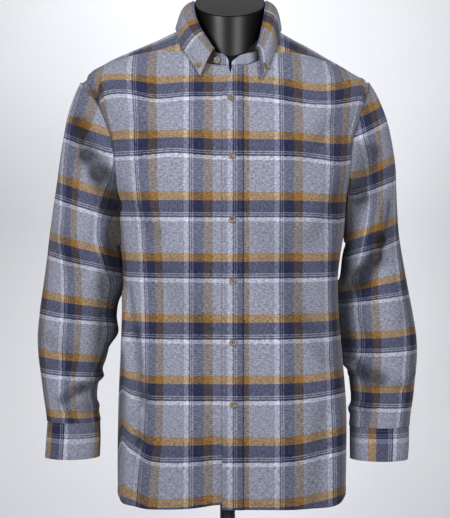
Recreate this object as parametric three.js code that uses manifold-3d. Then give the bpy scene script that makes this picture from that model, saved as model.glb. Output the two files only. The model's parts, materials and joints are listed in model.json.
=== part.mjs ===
// Long-sleeved flannel shirt with a button-down collar, worn by a limbless dress form.
// Millimetres, +Z up, the shirt front looks along -Y, "left" and "right" are the viewer's.
// The origin is on the floor under the middle of the round base.
import * as THREE from 'three';
import Module from 'manifold-3d';

const wasm = await Module();
wasm.setup();

// Cloth and seams
const clothThickness = 2;
const bandThickness = 2;
const seamGap = 0.3;
const seamTrim = 0.2;

// Overall heights of the shirt body
const hemHeight = 266;
const hemSideRise = 14;
const underarmHeight = 694;
const shoulderHeight = 948;
const neckSideHeight = 1042;
const neckFrontHeight = 970;

// Round the neck
const neckHalfWidth = 70;
const neckRise = 1.5;
const yokeCornerX = 56;
const yokeBackHeight = 935;

// Armholes
const armholeHalfDepth = 62;
const armholeSteps = 10;
const yokeFrontStep = 9;
const yokeBackStep = 8;

// Centre front: strip edges of the button side and of the buttonhole side
const placketLeft = -13;
const placketRight = 20;
const underEdge = 17;
const openStart = 915;

// Grid sizes
const lowerRows = 9;
const frontPanelColumns = 10;
const neckColumns = 3;
const sleeveColumns = 2 * armholeSteps;

// Body sections: half widths to each side, half depths to front and back at each height,
// with a squareness that is 2 on an ellipse and more on a fuller section.
const bodyRows = [
  { height: 250, left: 183, right: 188, front: 128, back: 131, square: 4.2 },
  { height: 340, left: 184, right: 190, front: 127, back: 134, square: 4.2 },
  { height: 420, left: 183, right: 190, front: 125, back: 136, square: 4 },
  { height: 500, left: 180, right: 184, front: 122, back: 130, square: 3.8 },
  { height: 560, left: 178, right: 179, front: 120, back: 122, square: 3.6 },
  { height: 620, left: 176, right: 177, front: 121, back: 117, square: 3.4 },
  { height: 660, left: 178, right: 181, front: 124, back: 118, square: 3.2 },
  { height: 694, left: 183, right: 187, front: 127, back: 121, square: 3 },
  { height: 754, left: 189, right: 196, front: 131, back: 127, square: 2.8 },
  { height: 800, left: 197, right: 205, front: 133, back: 130, square: 2.65 },
  { height: 850, left: 205, right: 212, front: 131, back: 131, square: 2.5 },
  { height: 888, left: 218, right: 223, front: 124, back: 129, square: 2.4 },
  { height: 914, left: 229, right: 229, front: 116, back: 125, square: 2.3 },
  { height: 933, left: 240, right: 232, front: 107, back: 120, square: 2.3 },
  { height: 948, left: 247, right: 229, front: 98, back: 114, square: 2.3 },
  { height: 957, left: 242, right: 213, front: 92, back: 110, square: 2.3 },
  { height: 966, left: 231, right: 198, front: 87, back: 106, square: 2.3 },
  { height: 976, left: 214, right: 181, front: 81, back: 101, square: 2.3 },
  { height: 989, left: 187, right: 158, front: 73, back: 94, square: 2.3 },
  { height: 1007, left: 144, right: 127, front: 61, back: 84, square: 2.3 },
  { height: 1020, left: 114, right: 102, front: 53, back: 76, square: 2.3 },
  { height: 1034, left: 86, right: 80, front: 45, back: 67, square: 2.3 },
  { height: 1042, left: 70, right: 70, front: 40, back: 62, square: 2.3 },
  { height: 1060, left: 40, right: 40, front: 24, back: 40, square: 2.3 },
];

// Sleeve rings: each runs from an outer to an inner point seen from the front,
// with its middle and half size from front to back. The first is the armhole.
const sleeveRows = {
  left: [
    { outX: 247, outZ: 948, inX: 183, inZ: 694, midY: 0, halfY: 62 },
    { outX: 258, outZ: 923, inX: 184, inZ: 691, midY: 0, halfY: 63 },
    { outX: 268, outZ: 892, inX: 185, inZ: 688, midY: 0, halfY: 65 },
    { outX: 275, outZ: 856, inX: 186, inZ: 685, midY: 1, halfY: 66 },
    { outX: 281, outZ: 820, inX: 187, inZ: 682, midY: 2, halfY: 66 },
    { outX: 286, outZ: 782, inX: 188, inZ: 679, midY: 3, halfY: 65 },
    { outX: 292, outZ: 742, inX: 188, inZ: 675, midY: 4, halfY: 64 },
    { outX: 298, outZ: 698, inX: 187, inZ: 669, midY: 5, halfY: 63 },
    { outX: 303, outZ: 655, inX: 186, inZ: 652, midY: 6, halfY: 62 },
    { outX: 309, outZ: 612, inX: 188, inZ: 614, midY: 7, halfY: 61 },
    { outX: 315, outZ: 568, inX: 193, inZ: 572, midY: 6, halfY: 60 },
    { outX: 318, outZ: 528, inX: 199, inZ: 530, midY: 2, halfY: 58 },
    { outX: 316, outZ: 498, inX: 205, inZ: 496, midY: -4, halfY: 55 },
    { outX: 311, outZ: 466, inX: 216, inZ: 464, midY: -12, halfY: 50 },
    { outX: 306, outZ: 436, inX: 220, inZ: 434, midY: -20, halfY: 45 },
    { outX: 301, outZ: 408, inX: 216, inZ: 407, midY: -27, halfY: 40 },
    { outX: 299, outZ: 393, inX: 213, inZ: 393, midY: -30, halfY: 37 },
  ],
  right: [
    { outX: 229, outZ: 948, inX: 187, inZ: 694, midY: 0, halfY: 62 },
    { outX: 242, outZ: 926, inX: 189, inZ: 691, midY: 0, halfY: 63 },
    { outX: 256, outZ: 892, inX: 191, inZ: 688, midY: 0, halfY: 65 },
    { outX: 265, outZ: 856, inX: 192, inZ: 685, midY: 1, halfY: 66 },
    { outX: 272, outZ: 814, inX: 193, inZ: 682, midY: 2, halfY: 66 },
    { outX: 274, outZ: 776, inX: 193, inZ: 679, midY: 3, halfY: 65 },
    { outX: 276, outZ: 738, inX: 192, inZ: 675, midY: 4, halfY: 64 },
    { outX: 279, outZ: 698, inX: 190, inZ: 669, midY: 5, halfY: 63 },
    { outX: 286, outZ: 654, inX: 187, inZ: 652, midY: 6, halfY: 62 },
    { outX: 294, outZ: 610, inX: 184, inZ: 612, midY: 7, halfY: 61 },
    { outX: 302, outZ: 568, inX: 185, inZ: 572, midY: 6, halfY: 60 },
    { outX: 308, outZ: 526, inX: 191, inZ: 530, midY: 2, halfY: 58 },
    { outX: 308, outZ: 492, inX: 196, inZ: 492, midY: -4, halfY: 55 },
    { outX: 304, outZ: 460, inX: 198, inZ: 459, midY: -12, halfY: 51 },
    { outX: 300, outZ: 430, inX: 200, inZ: 430, midY: -20, halfY: 46 },
    { outX: 295, outZ: 403, inX: 198, inZ: 403, midY: -27, halfY: 41 },
    { outX: 293, outZ: 385, inX: 196, inZ: 385, midY: -31, halfY: 38 },
  ],
};

// Cuff rings, from the sleeve end down
const cuffRows = {
  left: [
    { outX: 299, outZ: 393, inX: 213, inZ: 393, midY: -30, halfY: 37 },
    { outX: 301, outZ: 363, inX: 212, inZ: 363, midY: -33, halfY: 37 },
    { outX: 303, outZ: 334, inX: 213, inZ: 335, midY: -35, halfY: 36 },
  ],
  right: [
    { outX: 293, outZ: 385, inX: 196, inZ: 385, midY: -31, halfY: 38 },
    { outX: 293, outZ: 358, inX: 196, inZ: 358, midY: -33, halfY: 37 },
    { outX: 291, outZ: 331, inX: 196, inZ: 332, midY: -35, halfY: 36 },
  ],
};

// Sleeve slit strip: the three sleeve columns and the sleeve rings that it covers
const slitColumns = [13, 14, 15];
const slitFirstRing = 12;

// Collar stand height by degrees from the middle of the back
const standRows = {
  left: [
    { height: 0, tall: 35, lean: 5 },
    { height: 60, tall: 35, lean: 5 },
    { height: 100, tall: 36, lean: 6 },
    { height: 122, tall: 42, lean: 6 },
    { height: 135, tall: 40, lean: 5 },
    { height: 148, tall: 32, lean: 5 },
    { height: 158, tall: 21, lean: 4 },
    { height: 169, tall: 19, lean: 3 },
    { height: 175, tall: 14, lean: 2 },
    { height: 178, tall: 7, lean: 1 },
  ],
  right: [
    { height: 0, tall: 35, lean: 5 },
    { height: 60, tall: 35, lean: 5 },
    { height: 90, tall: 36, lean: 6 },
    { height: 105, tall: 41, lean: 7 },
    { height: 122, tall: 34, lean: 6 },
    { height: 134, tall: 21, lean: 5 },
    { height: 142, tall: 17, lean: 4 },
    { height: 156, tall: 18, lean: 3 },
    { height: 167, tall: 16, lean: 3 },
    { height: 173, tall: 11, lean: 2 },
    { height: 178, tall: 6, lean: 1 },
  ],
};
const standEnd = 178;
const standSteps = 30;
const standLift = 0.9;
const standInset = 0.8;
const leafEnds = { left: 158, right: 142 };
const leafColumns = 28;

// Lower edge of the collar leaf, by degrees from the middle of the back
const leafRows = {
  left: [
    { height: 0, x: 0, y: 74 },
    { height: 45, x: 58, y: 54 },
    { height: 90, x: 87, y: 3 },
    { height: 115, x: 85, y: -40 },
    { height: 135, x: 75, y: -65 },
    { height: 158, x: 48, y: -96 },
  ],
  right: [
    { height: 0, x: 0, y: 74 },
    { height: 45, x: 58, y: 54 },
    { height: 90, x: 82, y: 3 },
    { height: 110, x: 79, y: -42 },
    { height: 127, x: 68, y: -72 },
    { height: 142, x: 48.5, y: -100 },
  ],
};
const leafClearance = 5;
const leafSteps = [0, 0.08, 0.3, 0.55, 0.8, 1];
const leafBulge = 8;
const leafLift = 3;

// Buttons
const buttonDiameter = 11.4;
const buttonThickness = 2.4;
const buttonSides = 16;
const buttonLift = 0.7;
const frontButtons = [
  { x: 1, z: 915 },
  { x: 2.5, z: 824 },
  { x: 3.5, z: 724 },
  { x: 4, z: 627 },
  { x: 4.5, z: 529 },
  { x: 5, z: 432 },
];

// Dress form: gap between the cloth and the form at each height
const formColumns = 32;
const formGaps = [
  { height: 335, gap: 10 },
  { height: 500, gap: 9 },
  { height: 694, gap: 8 },
  { height: 850, gap: 7 },
  { height: 933, gap: 11 },
  { height: 955, gap: 11 },
  { height: 1010, gap: 6 },
  { height: 1036, gap: 5 },
];
const formHeights = [375, 440, 500, 560, 620, 660, 694, 740, 790, 840, 880, 912, 933, 948,
  958, 968, 980, 993, 1007, 1020, 1032];
const formBottom = 335;
const neckRadius = 59.5;
const neckTilt = 27;
const neckRoot = { y: 0, z: 940 };
const neckTop = { y: -10, z: 1077 };
const capThickness = 3;

// Stand
const poleX = -4;
const poleRadius = 12.5;
const baseRadius = 150;
const baseThickness = 12;

const black = { color: '#17181b', roughness: 0.18, metalness: 0 };
const clothLook = { color: '#84858f', roughness: 0.95, metalness: 0 };
const buttonLook = { color: '#8a7d6c', roughness: 0.4, metalness: 0 };

const group = new THREE.Group();
group.name = 'flannel_shirt_on_dress_form';

// A smooth curve through one column of a table, looked up by its height column.
function tableValue(rows, column, height) {
  const last = rows.length - 1;
  if (height <= rows[0].height) return rows[0][column];
  if (height >= rows[last].height) return rows[last][column];
  let i = 0;
  while (rows[i + 1].height < height) i += 1;
  const slopeAt = (j) => {
    const before = rows[Math.max(j - 1, 0)];
    const after = rows[Math.min(j + 1, last)];
    return (after[column] - before[column]) / (after.height - before.height);
  };
  const span = rows[i + 1].height - rows[i].height;
  const t = (height - rows[i].height) / span;
  const t2 = t * t;
  const t3 = t2 * t;
  return (2 * t3 - 3 * t2 + 1) * rows[i][column]
    + (t3 - 2 * t2 + t) * span * slopeAt(i)
    + (3 * t2 - 2 * t3) * rows[i + 1][column]
    + (t3 - t2) * span * slopeAt(i + 1);
}

const mix = (a, b, t) => a + (b - a) * t;

function smooth(t) {
  const c = Math.min(Math.max(t, 0), 1);
  return c * c * (3 - 2 * c);
}

function sizesAt(turn, height) {
  const side = Math.sin(turn) >= 0 ? 'right' : 'left';
  const face = Math.cos(turn) >= 0 ? 'front' : 'back';
  return {
    halfWidth: tableValue(bodyRows, side, height),
    halfDepth: tableValue(bodyRows, face, height),
    square: tableValue(bodyRows, 'square', height),
  };
}

// Point of the body surface: turn is 0 at the front middle and a quarter at the right side.
function bodyPoint(turn, height) {
  const { halfWidth, halfDepth, square } = sizesAt(turn, height);
  const power = 2 / square;
  const across = Math.sin(turn);
  const along = Math.cos(turn);
  return new THREE.Vector3(
    Math.sign(across) * halfWidth * Math.abs(across) ** power,
    -Math.sign(along) * halfDepth * Math.abs(along) ** power,
    height,
  );
}

// Outward direction of the body surface, from the slopes of its sections.
function bodyNormal(point) {
  const value = (x, y, z) => {
    const width = tableValue(bodyRows, x >= 0 ? 'right' : 'left', z);
    const depth = tableValue(bodyRows, y <= 0 ? 'front' : 'back', z);
    const square = tableValue(bodyRows, 'square', z);
    return (Math.abs(x) / width) ** square + (Math.abs(y) / depth) ** square;
  };
  const step = 1.5;
  const { x, y, z } = point;
  return new THREE.Vector3(
    value(x + step, y, z) - value(x - step, y, z),
    value(x, y + step, z) - value(x, y - step, z),
    value(x, y, z + step) - value(x, y, z - step),
  ).normalize();
}

const onBody = (p) => ({ p, n: bodyNormal(p) });

// Turn at which the section of a height reaches x, on the front or the back.
function turnAtX(x, height, back = false) {
  const { halfWidth, square } = sizesAt(Math.sign(x) * 0.1, height);
  const sine = Math.min(Math.abs(x) / halfWidth, 1) ** (square / 2);
  const turn = Math.asin(sine);
  return Math.sign(x) * (back ? Math.PI - turn : turn);
}

// Height of the body surface over a point of the plan, for the shoulders.
function heightOver(x, y) {
  let low = 880;
  let high = 1058;
  for (let i = 0; i < 40; i += 1) {
    const z = (low + high) / 2;
    const width = tableValue(bodyRows, x >= 0 ? 'right' : 'left', z);
    const depth = tableValue(bodyRows, y <= 0 ? 'front' : 'back', z);
    const square = tableValue(bodyRows, 'square', z);
    if ((Math.abs(x) / width) ** square + (Math.abs(y) / depth) ** square < 1) low = z;
    else high = z;
  }
  return new THREE.Vector3(x, y, (low + high) / 2);
}

// Armhole outline: step 0 at the underarm, the last at the shoulder point.
function armholePoint(side, step, back = false) {
  const angle = (Math.PI * step) / armholeSteps;
  const middle = (underarmHeight + shoulderHeight) / 2;
  const half = (shoulderHeight - underarmHeight) / 2;
  const height = middle - half * Math.cos(angle);
  const inwards = armholeHalfDepth * Math.sin(angle);
  const { halfDepth, square } = sizesAt(back ? Math.PI : 0, height);
  const turn = Math.acos((inwards / halfDepth) ** (square / 2));
  return bodyPoint(side * (back ? Math.PI - turn : turn), height);
}

// Unit direction away from a ring of the sleeve, by its angle from the outer point.
function ringFrame(row, side, angle) {
  const outer = new THREE.Vector3(side * row.outX, row.midY, row.outZ);
  const inner = new THREE.Vector3(side * row.inX, row.midY, row.inZ);
  const centre = outer.clone().add(inner).multiplyScalar(0.5);
  const reach = outer.clone().sub(centre);
  const p = centre.clone().addScaledVector(reach, Math.cos(angle));
  p.y += row.halfY * Math.sin(angle);
  const n = reach.clone().multiplyScalar(Math.cos(angle) / reach.lengthSq());
  n.y += Math.sin(angle) / row.halfY;
  return { p, n: n.normalize() };
}

// Angle of each sleeve column: the front half first, from the underarm up, then the back.
function columnAngle(column) {
  return -Math.PI + (2 * Math.PI * column) / sleeveColumns;
}

function armholeColumn(side, column) {
  if (column <= armholeSteps) return armholePoint(side, column);
  return armholePoint(side, sleeveColumns - column, true);
}

// Seam direction that the body and the sleeve share along the armhole.
function armholeNormal(side, column, sleeveRow) {
  const p = armholeColumn(side, column);
  return bodyNormal(p).add(ringFrame(sleeveRow, side, columnAngle(column)).n).normalize();
}

// Front neckline: angle 0 at the front middle, a quarter turn at the side of the neck.
function neckFrontPoint(side, angle) {
  const x = side * neckHalfWidth * Math.sin(angle);
  const z = mix(neckFrontHeight, neckSideHeight, (1 - Math.cos(angle)) ** neckRise);
  return bodyPoint(turnAtX(x || 1e-6, z), z);
}

// Whole neckline: 0 at the back middle, positive to the right, 180 degrees at the front.
function neckPoint(degrees) {
  const side = Math.sign(degrees) || 1;
  const around = THREE.MathUtils.degToRad(Math.abs(degrees));
  if (around <= Math.PI / 2) return bodyPoint(side * (Math.PI - around), neckSideHeight);
  return neckFrontPoint(side, Math.PI - around);
}

// Closed wall from grids of outer points and normals that share their edge points.
function sheetGeometry(patches, thickness) {
  const vertices = [];
  const lookup = new Map();
  const faces = [];
  const vertexFor = (item) => {
    const key = item.p.toArray().map((v) => v.toFixed(3)).join(',');
    if (!lookup.has(key)) {
      lookup.set(key, vertices.length);
      vertices.push({ p: item.p.clone(), n: item.n.clone() });
    }
    return lookup.get(key);
  };
  for (const grid of patches) {
    const ids = grid.map((line) => line.map(vertexFor));
    const patchFaces = [];
    for (let r = 0; r + 1 < ids.length; r += 1) {
      for (let c = 0; c + 1 < ids[r].length; c += 1) {
        const a = ids[r][c];
        const b = ids[r][c + 1];
        const d = ids[r + 1][c];
        const e = ids[r + 1][c + 1];
        patchFaces.push([a, b, e], [a, e, d]);
      }
    }
    let facing = 0;
    for (const [a, b, c] of patchFaces) {
      const ab = vertices[b].p.clone().sub(vertices[a].p);
      const ac = vertices[c].p.clone().sub(vertices[a].p);
      facing += ab.cross(ac).dot(vertices[a].n);
    }
    for (const face of patchFaces) faces.push(facing > 0 ? face : [face[0], face[2], face[1]]);
  }
  const real = faces.filter(([a, b, c]) => a !== b && b !== c && a !== c);
  const edges = new Map();
  for (const [a, b, c] of real) {
    for (const [i, j] of [[a, b], [b, c], [c, a]]) edges.set(`${i}_${j}`, [i, j]);
  }
  const rim = [...edges.values()].filter(([i, j]) => !edges.has(`${j}_${i}`));
  const pull = new Map();
  for (const [i, j] of rim) {
    const along = vertices[j].p.clone().sub(vertices[i].p).normalize();
    for (const k of [i, j]) {
      const inwards = vertices[k].n.clone().cross(along).normalize();
      pull.set(k, (pull.get(k) ?? new THREE.Vector3()).add(inwards));
    }
  }
  for (const [k, direction] of pull) {
    vertices[k].p.addScaledVector(direction.normalize(), seamTrim);
  }
  const count = vertices.length;
  const positions = [];
  for (const { p } of vertices) positions.push(...p.toArray());
  for (const { p, n } of vertices) positions.push(...p.clone().addScaledVector(n, -thickness).toArray());
  const index = [];
  for (const [a, b, c] of real) index.push(a, b, c, count + a, count + c, count + b);
  // Edge faces are split from their higher end, so two pieces match along a seam.
  for (const [i, j] of rim) {
    if (vertices[i].p.z > vertices[j].p.z) index.push(j, i, count + j, i, count + i, count + j);
    else index.push(j, i, count + i, j, count + i, count + j);
  }
  const geometry = new THREE.BufferGeometry();
  geometry.setAttribute('position', new THREE.Float32BufferAttribute(positions, 3));
  geometry.setIndex(index);
  geometry.computeVertexNormals();
  return geometry;
}

function addMesh(name, geometry, look) {
  const mesh = new THREE.Mesh(geometry, new THREE.MeshStandardMaterial(look));
  mesh.name = name;
  group.add(mesh);
  return mesh;
}

// Front panels

// Points along the top edge: the neckline first, then the yoke seam to the armhole.
function frontTopPoint(side, part, startX) {
  const neckShare = neckColumns / frontPanelColumns;
  const cornerAngle = Math.asin(yokeCornerX / neckHalfWidth);
  if (part < neckShare) {
    const startAngle = side * Math.asin(startX / neckHalfWidth);
    const angle = mix(startAngle, cornerAngle, part / neckShare);
    return neckFrontPoint(side, angle);
  }
  const corner = neckFrontPoint(side, cornerAngle);
  const end = armholePoint(side, yokeFrontStep);
  const t = (part - neckShare) / (1 - neckShare);
  if (t === 0) return corner;
  if (t > 0.999) return end;
  return heightOver(mix(corner.x, end.x, t), mix(corner.y, end.y, t));
}

// Hem height at a turn: lowest at the middle, rising a little to each side seam.
function hemAt(turn) {
  return hemHeight + hemSideRise * Math.abs(Math.sin(turn)) ** 6;
}

// One column of a front panel, by a fixed x near the middle or a share of the way round.
function frontColumn(side, column, startX) {
  const line = [];
  const topPart = column.part ?? 0;
  const top = column.part === undefined
    ? neckFrontPoint(side, side * Math.asin(column.topX / neckHalfWidth))
    : frontTopPoint(side, topPart, startX);
  const topTurn = turnAtX(top.x || 1e-6, top.z);
  for (let row = 0; row <= lowerRows; row += 1) {
    const share = row / lowerRows;
    const guess = mix(hemHeight, underarmHeight, share);
    const startTurn = turnAtX(column.x ?? startX, guess);
    const turn = column.part === undefined ? startTurn : mix(startTurn, (side * Math.PI) / 2, column.part);
    line.push(onBody(bodyPoint(turn, mix(hemAt(turn), underarmHeight, share))));
  }
  for (let step = 1; step <= yokeFrontStep; step += 1) {
    const edge = armholePoint(side, step);
    const last = armholePoint(side, yokeFrontStep);
    const rise = (edge.z - underarmHeight) / (last.z - underarmHeight);
    const height = mix(underarmHeight, top.z, rise);
    if (column.part === 1) {
      line.push({ p: edge, n: armholeNormal(side, step, sleeveRows[side < 0 ? 'left' : 'right'][0]) });
    } else if (step === yokeFrontStep) {
      line.push(onBody(top));
    } else if (column.part === undefined) {
      const x = mix(column.x, column.topX, smooth((height - openStart) / (top.z - openStart)));
      line.push(onBody(bodyPoint(turnAtX(x, height), height)));
    } else {
      const startTurn = turnAtX(startX, height);
      const edgeTurn = turnAtX(edge.x, edge.z);
      const plain = mix(startTurn, edgeTurn, column.part);
      const aimed = mix(startTurn, edgeTurn, (topTurn - startTurn) / ((side * Math.PI) / 2 - startTurn));
      const turn = mix(plain, aimed, smooth(rise));
      line.push(onBody(bodyPoint(turn, height)));
    }
  }
  return line;
}

function shareColumns() {
  const columns = [];
  for (let i = 1; i <= frontPanelColumns; i += 1) columns.push({ part: i / frontPanelColumns });
  return columns;
}

const leftStart = placketLeft;
const leftColumns = [
  { x: underEdge, topX: -2 },
  { x: 2, topX: -8 },
  { x: placketLeft, topX: placketLeft - 1 },
  ...shareColumns(),
].map((column) => frontColumn(-1, column, leftStart));
addMesh('front_right_panel', sheetGeometry([leftColumns], clothThickness), clothLook);

const rightColumns = [
  { x: placketRight, topX: placketRight },
  ...shareColumns(),
].map((column) => frontColumn(1, column, placketRight));
addMesh('front_left_panel', sheetGeometry([rightColumns], clothThickness), clothLook);

// Buttonhole strip, lying on the button side, its free edge leaning over at the neck
const raise = (line, out) => line.map(({ p, n }) => ({ p: p.clone().addScaledVector(n, out), n }));
const placketOut = bandThickness + 2 * seamGap;
const placketColumns = [
  { x: placketLeft, topX: 3 },
  { x: 2, topX: 8 },
  { x: underEdge, topX: 18 },
  { x: placketRight, topX: placketRight },
].map((column) => raise(frontColumn(1, column, placketRight), placketOut));
addMesh('front_placket', sheetGeometry([placketColumns], bandThickness), clothLook);

// Back and yoke

const shoulderSteps = 7;
const backNeckSteps = 6;
const backColumns = 2 * shoulderSteps + backNeckSteps;

function yokeSeamPoint(column) {
  const share = (2 * column) / backColumns - 1;
  const side = share < 0 ? -1 : 1;
  const end = armholePoint(side, yokeBackStep, true);
  if (Math.abs(share) > 0.999) return end;
  const x = Math.abs(share) * end.x;
  const height = mix(yokeBackHeight, end.z, share * share);
  return bodyPoint(turnAtX(x || 1e-6, height, true), height);
}

const backPanel = [];
for (let column = 0; column <= backColumns; column += 1) {
  const share = (2 * column) / backColumns - 1;
  const side = share < 0 ? -1 : 1;
  const seam = yokeSeamPoint(column);
  const seamTurn = Math.PI - Math.abs(turnAtX(seam.x || 1e-6, seam.z, true));
  const line = [];
  const plainTurn = (Math.abs(share) * Math.PI) / 2;
  for (let row = 0; row <= lowerRows; row += 1) {
    const height = mix(hemAt(plainTurn), underarmHeight, row / lowerRows);
    line.push(onBody(bodyPoint(side * (Math.PI - plainTurn), height)));
  }
  const last = armholePoint(side, yokeBackStep, true);
  for (let step = 1; step <= yokeBackStep; step += 1) {
    const edge = armholePoint(side, step, true);
    const rise = (edge.z - underarmHeight) / (last.z - underarmHeight);
    if (Math.abs(share) > 0.999) {
      const row = sleeveRows[side < 0 ? 'left' : 'right'][0];
      line.push({ p: edge, n: armholeNormal(side, sleeveColumns - step, row) });
    } else if (step === yokeBackStep) {
      line.push(onBody(seam));
    } else {
      const edgeTurn = Math.PI - Math.abs(turnAtX(edge.x, edge.z, true));
      const turn = mix(Math.abs(share) * edgeTurn, seamTurn * (edgeTurn / (Math.PI / 2)), rise ** 4);
      line.push(onBody(bodyPoint(side * (Math.PI - turn), mix(underarmHeight, seam.z, rise))));
    }
  }
  backPanel.push(line);
}
addMesh('back_panel', sheetGeometry([backPanel], clothThickness), clothLook);

const yokeBackRows = 6;
const yokeFlapRows = 4;

// A point on the armhole outline between two of its steps, on the straight line.
function armholeBetween(side, step, back) {
  const low = Math.min(Math.floor(step), armholeSteps - 1);
  const row = sleeveRows[side < 0 ? 'left' : 'right'][0];
  const at = (s) => ({
    p: armholePoint(side, s, back),
    n: armholeNormal(side, back ? (sleeveColumns - s) % sleeveColumns : s, row),
  });
  const a = at(low);
  const b = at(low + 1);
  return { p: a.p.lerp(b.p, step - low), n: a.n.lerp(b.n, step - low).normalize() };
}

const yokeBack = [];
for (let column = 0; column <= backColumns; column += 1) {
  const side = column < backColumns / 2 ? -1 : 1;
  const fromNeck = Math.abs(column - backColumns / 2) - backNeckSteps / 2;
  const seam = yokeSeamPoint(column);
  const line = [];
  for (let row = 0; row <= yokeBackRows; row += 1) {
    const t = row / yokeBackRows;
    if (fromNeck === shoulderSteps) {
      const step = mix(armholeSteps, yokeBackStep, t);
      line.push(armholeBetween(side, step, true));
    } else if (t === 1) {
      line.push(onBody(seam));
    } else {
      const ridgeX = mix(neckHalfWidth, Math.abs(armholePoint(side, armholeSteps).x), fromNeck / shoulderSteps);
      const neckTurn = ((column - backColumns / 2) / (backNeckSteps / 2)) * 90;
      const start = fromNeck >= 0 ? heightOver(side * ridgeX, 0) : neckPoint(neckTurn);
      const p = t === 0 ? start : heightOver(mix(start.x, seam.x, t), mix(start.y, seam.y, t));
      line.push(onBody(p));
    }
  }
  yokeBack.push(line);
}

function yokeFlap(side) {
  const cornerAngle = Math.asin(yokeCornerX / neckHalfWidth);
  const grid = [];
  for (let column = 0; column <= shoulderSteps; column += 1) {
    const share = column / shoulderSteps;
    const part = mix(neckColumns / frontPanelColumns, 1, share);
    const end = frontTopPoint(side, part, placketRight);
    const ridgeX = mix(neckHalfWidth, Math.abs(armholePoint(side, armholeSteps).x), share);
    const line = [];
    for (let row = 0; row <= yokeFlapRows; row += 1) {
      const t = row / yokeFlapRows;
      if (column === shoulderSteps) {
        line.push(armholeBetween(side, mix(armholeSteps, yokeFrontStep, t), false));
      } else if (t === 1) {
        line.push(onBody(end));
      } else if (column === 0 && t > 0) {
        line.push(onBody(neckFrontPoint(side, mix(Math.PI / 2, cornerAngle, t))));
      } else {
        const x = mix(side * ridgeX, end.x, t);
        line.push(onBody(heightOver(x, mix(0, end.y, t))));
      }
    }
    grid.push(line);
  }
  return grid;
}
addMesh('yoke', sheetGeometry([yokeBack, yokeFlap(-1), yokeFlap(1)], clothThickness), clothLook);

// Sleeves and cuffs

const fadeRings = 8;

function sleeveGrid(side, rows) {
  return rows.map((row, ring) => {
    const line = [];
    for (let column = 0; column <= sleeveColumns; column += 1) {
      const wrapped = column % sleeveColumns;
      const angle = columnAngle(wrapped);
      const item = ringFrame(row, side, angle);
      const first = ringFrame(rows[0], side, angle);
      const pull = armholeColumn(side, wrapped).sub(first.p);
      if (ring === 0) item.n = armholeNormal(side, wrapped, row);
      item.p.addScaledVector(pull, 1 - smooth(ring / fadeRings));
      line.push(item);
    }
    return line;
  });
}

function cuffGrid(side, rows) {
  return rows.map((row) => {
    const line = [];
    for (let column = 0; column <= sleeveColumns; column += 1) {
      line.push(ringFrame(row, side, columnAngle(column % sleeveColumns)));
    }
    return line;
  });
}

for (const [viewSide, side, wearer] of [['left', -1, 'right'], ['right', 1, 'left']]) {
  const sleeve = sleeveGrid(side, sleeveRows[viewSide]);
  addMesh(`sleeve_${wearer}`, sheetGeometry([sleeve], clothThickness), clothLook);
  const strip = sleeve.slice(slitFirstRing)
    .map((line) => raise(slitColumns.map((column) => line[column]), bandThickness + seamGap));
  addMesh(`sleeve_placket_${wearer}`, sheetGeometry([strip], bandThickness), clothLook);
  const cuff = cuffGrid(side, cuffRows[viewSide]);
  addMesh(`cuff_${wearer}`, sheetGeometry([cuff], clothThickness), clothLook);
}

// Collar stand and leaf

function collarAngles(first, last, steps) {
  const angles = [];
  for (let i = 0; i <= steps; i += 1) angles.push(mix(first, last, i / steps));
  return angles;
}

// Foot, top and outward direction of the stand at an angle from the middle of the back.
function standSection(degrees) {
  const foot = neckPoint(degrees);
  const before = neckPoint(Math.max(degrees - 3, -179.5));
  const after = neckPoint(Math.min(degrees + 3, 179.5));
  const along = after.sub(before).setZ(0).normalize();
  const out = new THREE.Vector3(along.y, -along.x, 0);
  if (out.dot(foot.clone().setZ(0)) < 0) out.negate();
  const rows = standRows[degrees < 0 ? 'left' : 'right'];
  const tall = tableValue(rows, 'tall', Math.abs(degrees));
  const lean = tableValue(rows, 'lean', Math.abs(degrees));
  const top = foot.clone().addScaledVector(out, -lean);
  top.z += tall;
  foot.addScaledVector(out, -standInset);
  foot.z += standLift;
  return { foot, top, out };
}

const standGrid = collarAngles(-standEnd, standEnd, standSteps).map((degrees) => {
  const { foot, top, out } = standSection(degrees);
  return [0, 0.5, 1].map((t) => ({ p: foot.clone().lerp(top, t), n: out.clone() }));
});
addMesh('collar_stand', sheetGeometry([standGrid], bandThickness), clothLook);

const leafGrid = collarAngles(-leafEnds.left, leafEnds.right, leafColumns).map((degrees) => {
  const { top, out } = standSection(degrees);
  const rows = leafRows[degrees < 0 ? 'left' : 'right'];
  const around = Math.abs(degrees);
  const under = heightOver(
    (Math.sign(degrees) || 1) * tableValue(rows, 'x', around),
    tableValue(rows, 'y', around),
  );
  const edge = under.clone().addScaledVector(bodyNormal(under), leafClearance);
  return leafSteps.map((t) => {
    const p = top.clone().lerp(edge, t);
    p.z += (1 - t) * (bandThickness + leafLift);
    p.addScaledVector(out, leafBulge * Math.sin(Math.PI * t ** 0.6) - (1 - t) ** 12);
    const drop = edge.clone().sub(top).normalize();
    const side = new THREE.Vector3(0, 0, 1).cross(out);
    const flat = side.cross(drop).normalize();
    if (flat.dot(out) < 0) flat.negate();
    const n = new THREE.Vector3(0, 0, 1).lerp(flat, smooth(t * 8)).normalize();
    return { p, n };
  });
});
addMesh('collar_leaf', sheetGeometry([leafGrid], bandThickness), clothLook);

// Buttons

function addButton(name, point, normal) {
  const geometry = new THREE.CylinderGeometry(
    buttonDiameter / 2, buttonDiameter / 2, buttonThickness, buttonSides);
  const mesh = addMesh(name, geometry, buttonLook);
  mesh.quaternion.setFromUnitVectors(new THREE.Vector3(0, 1, 0), normal);
  mesh.position.copy(point).addScaledVector(normal, buttonThickness / 2 + buttonLift);
}

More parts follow.
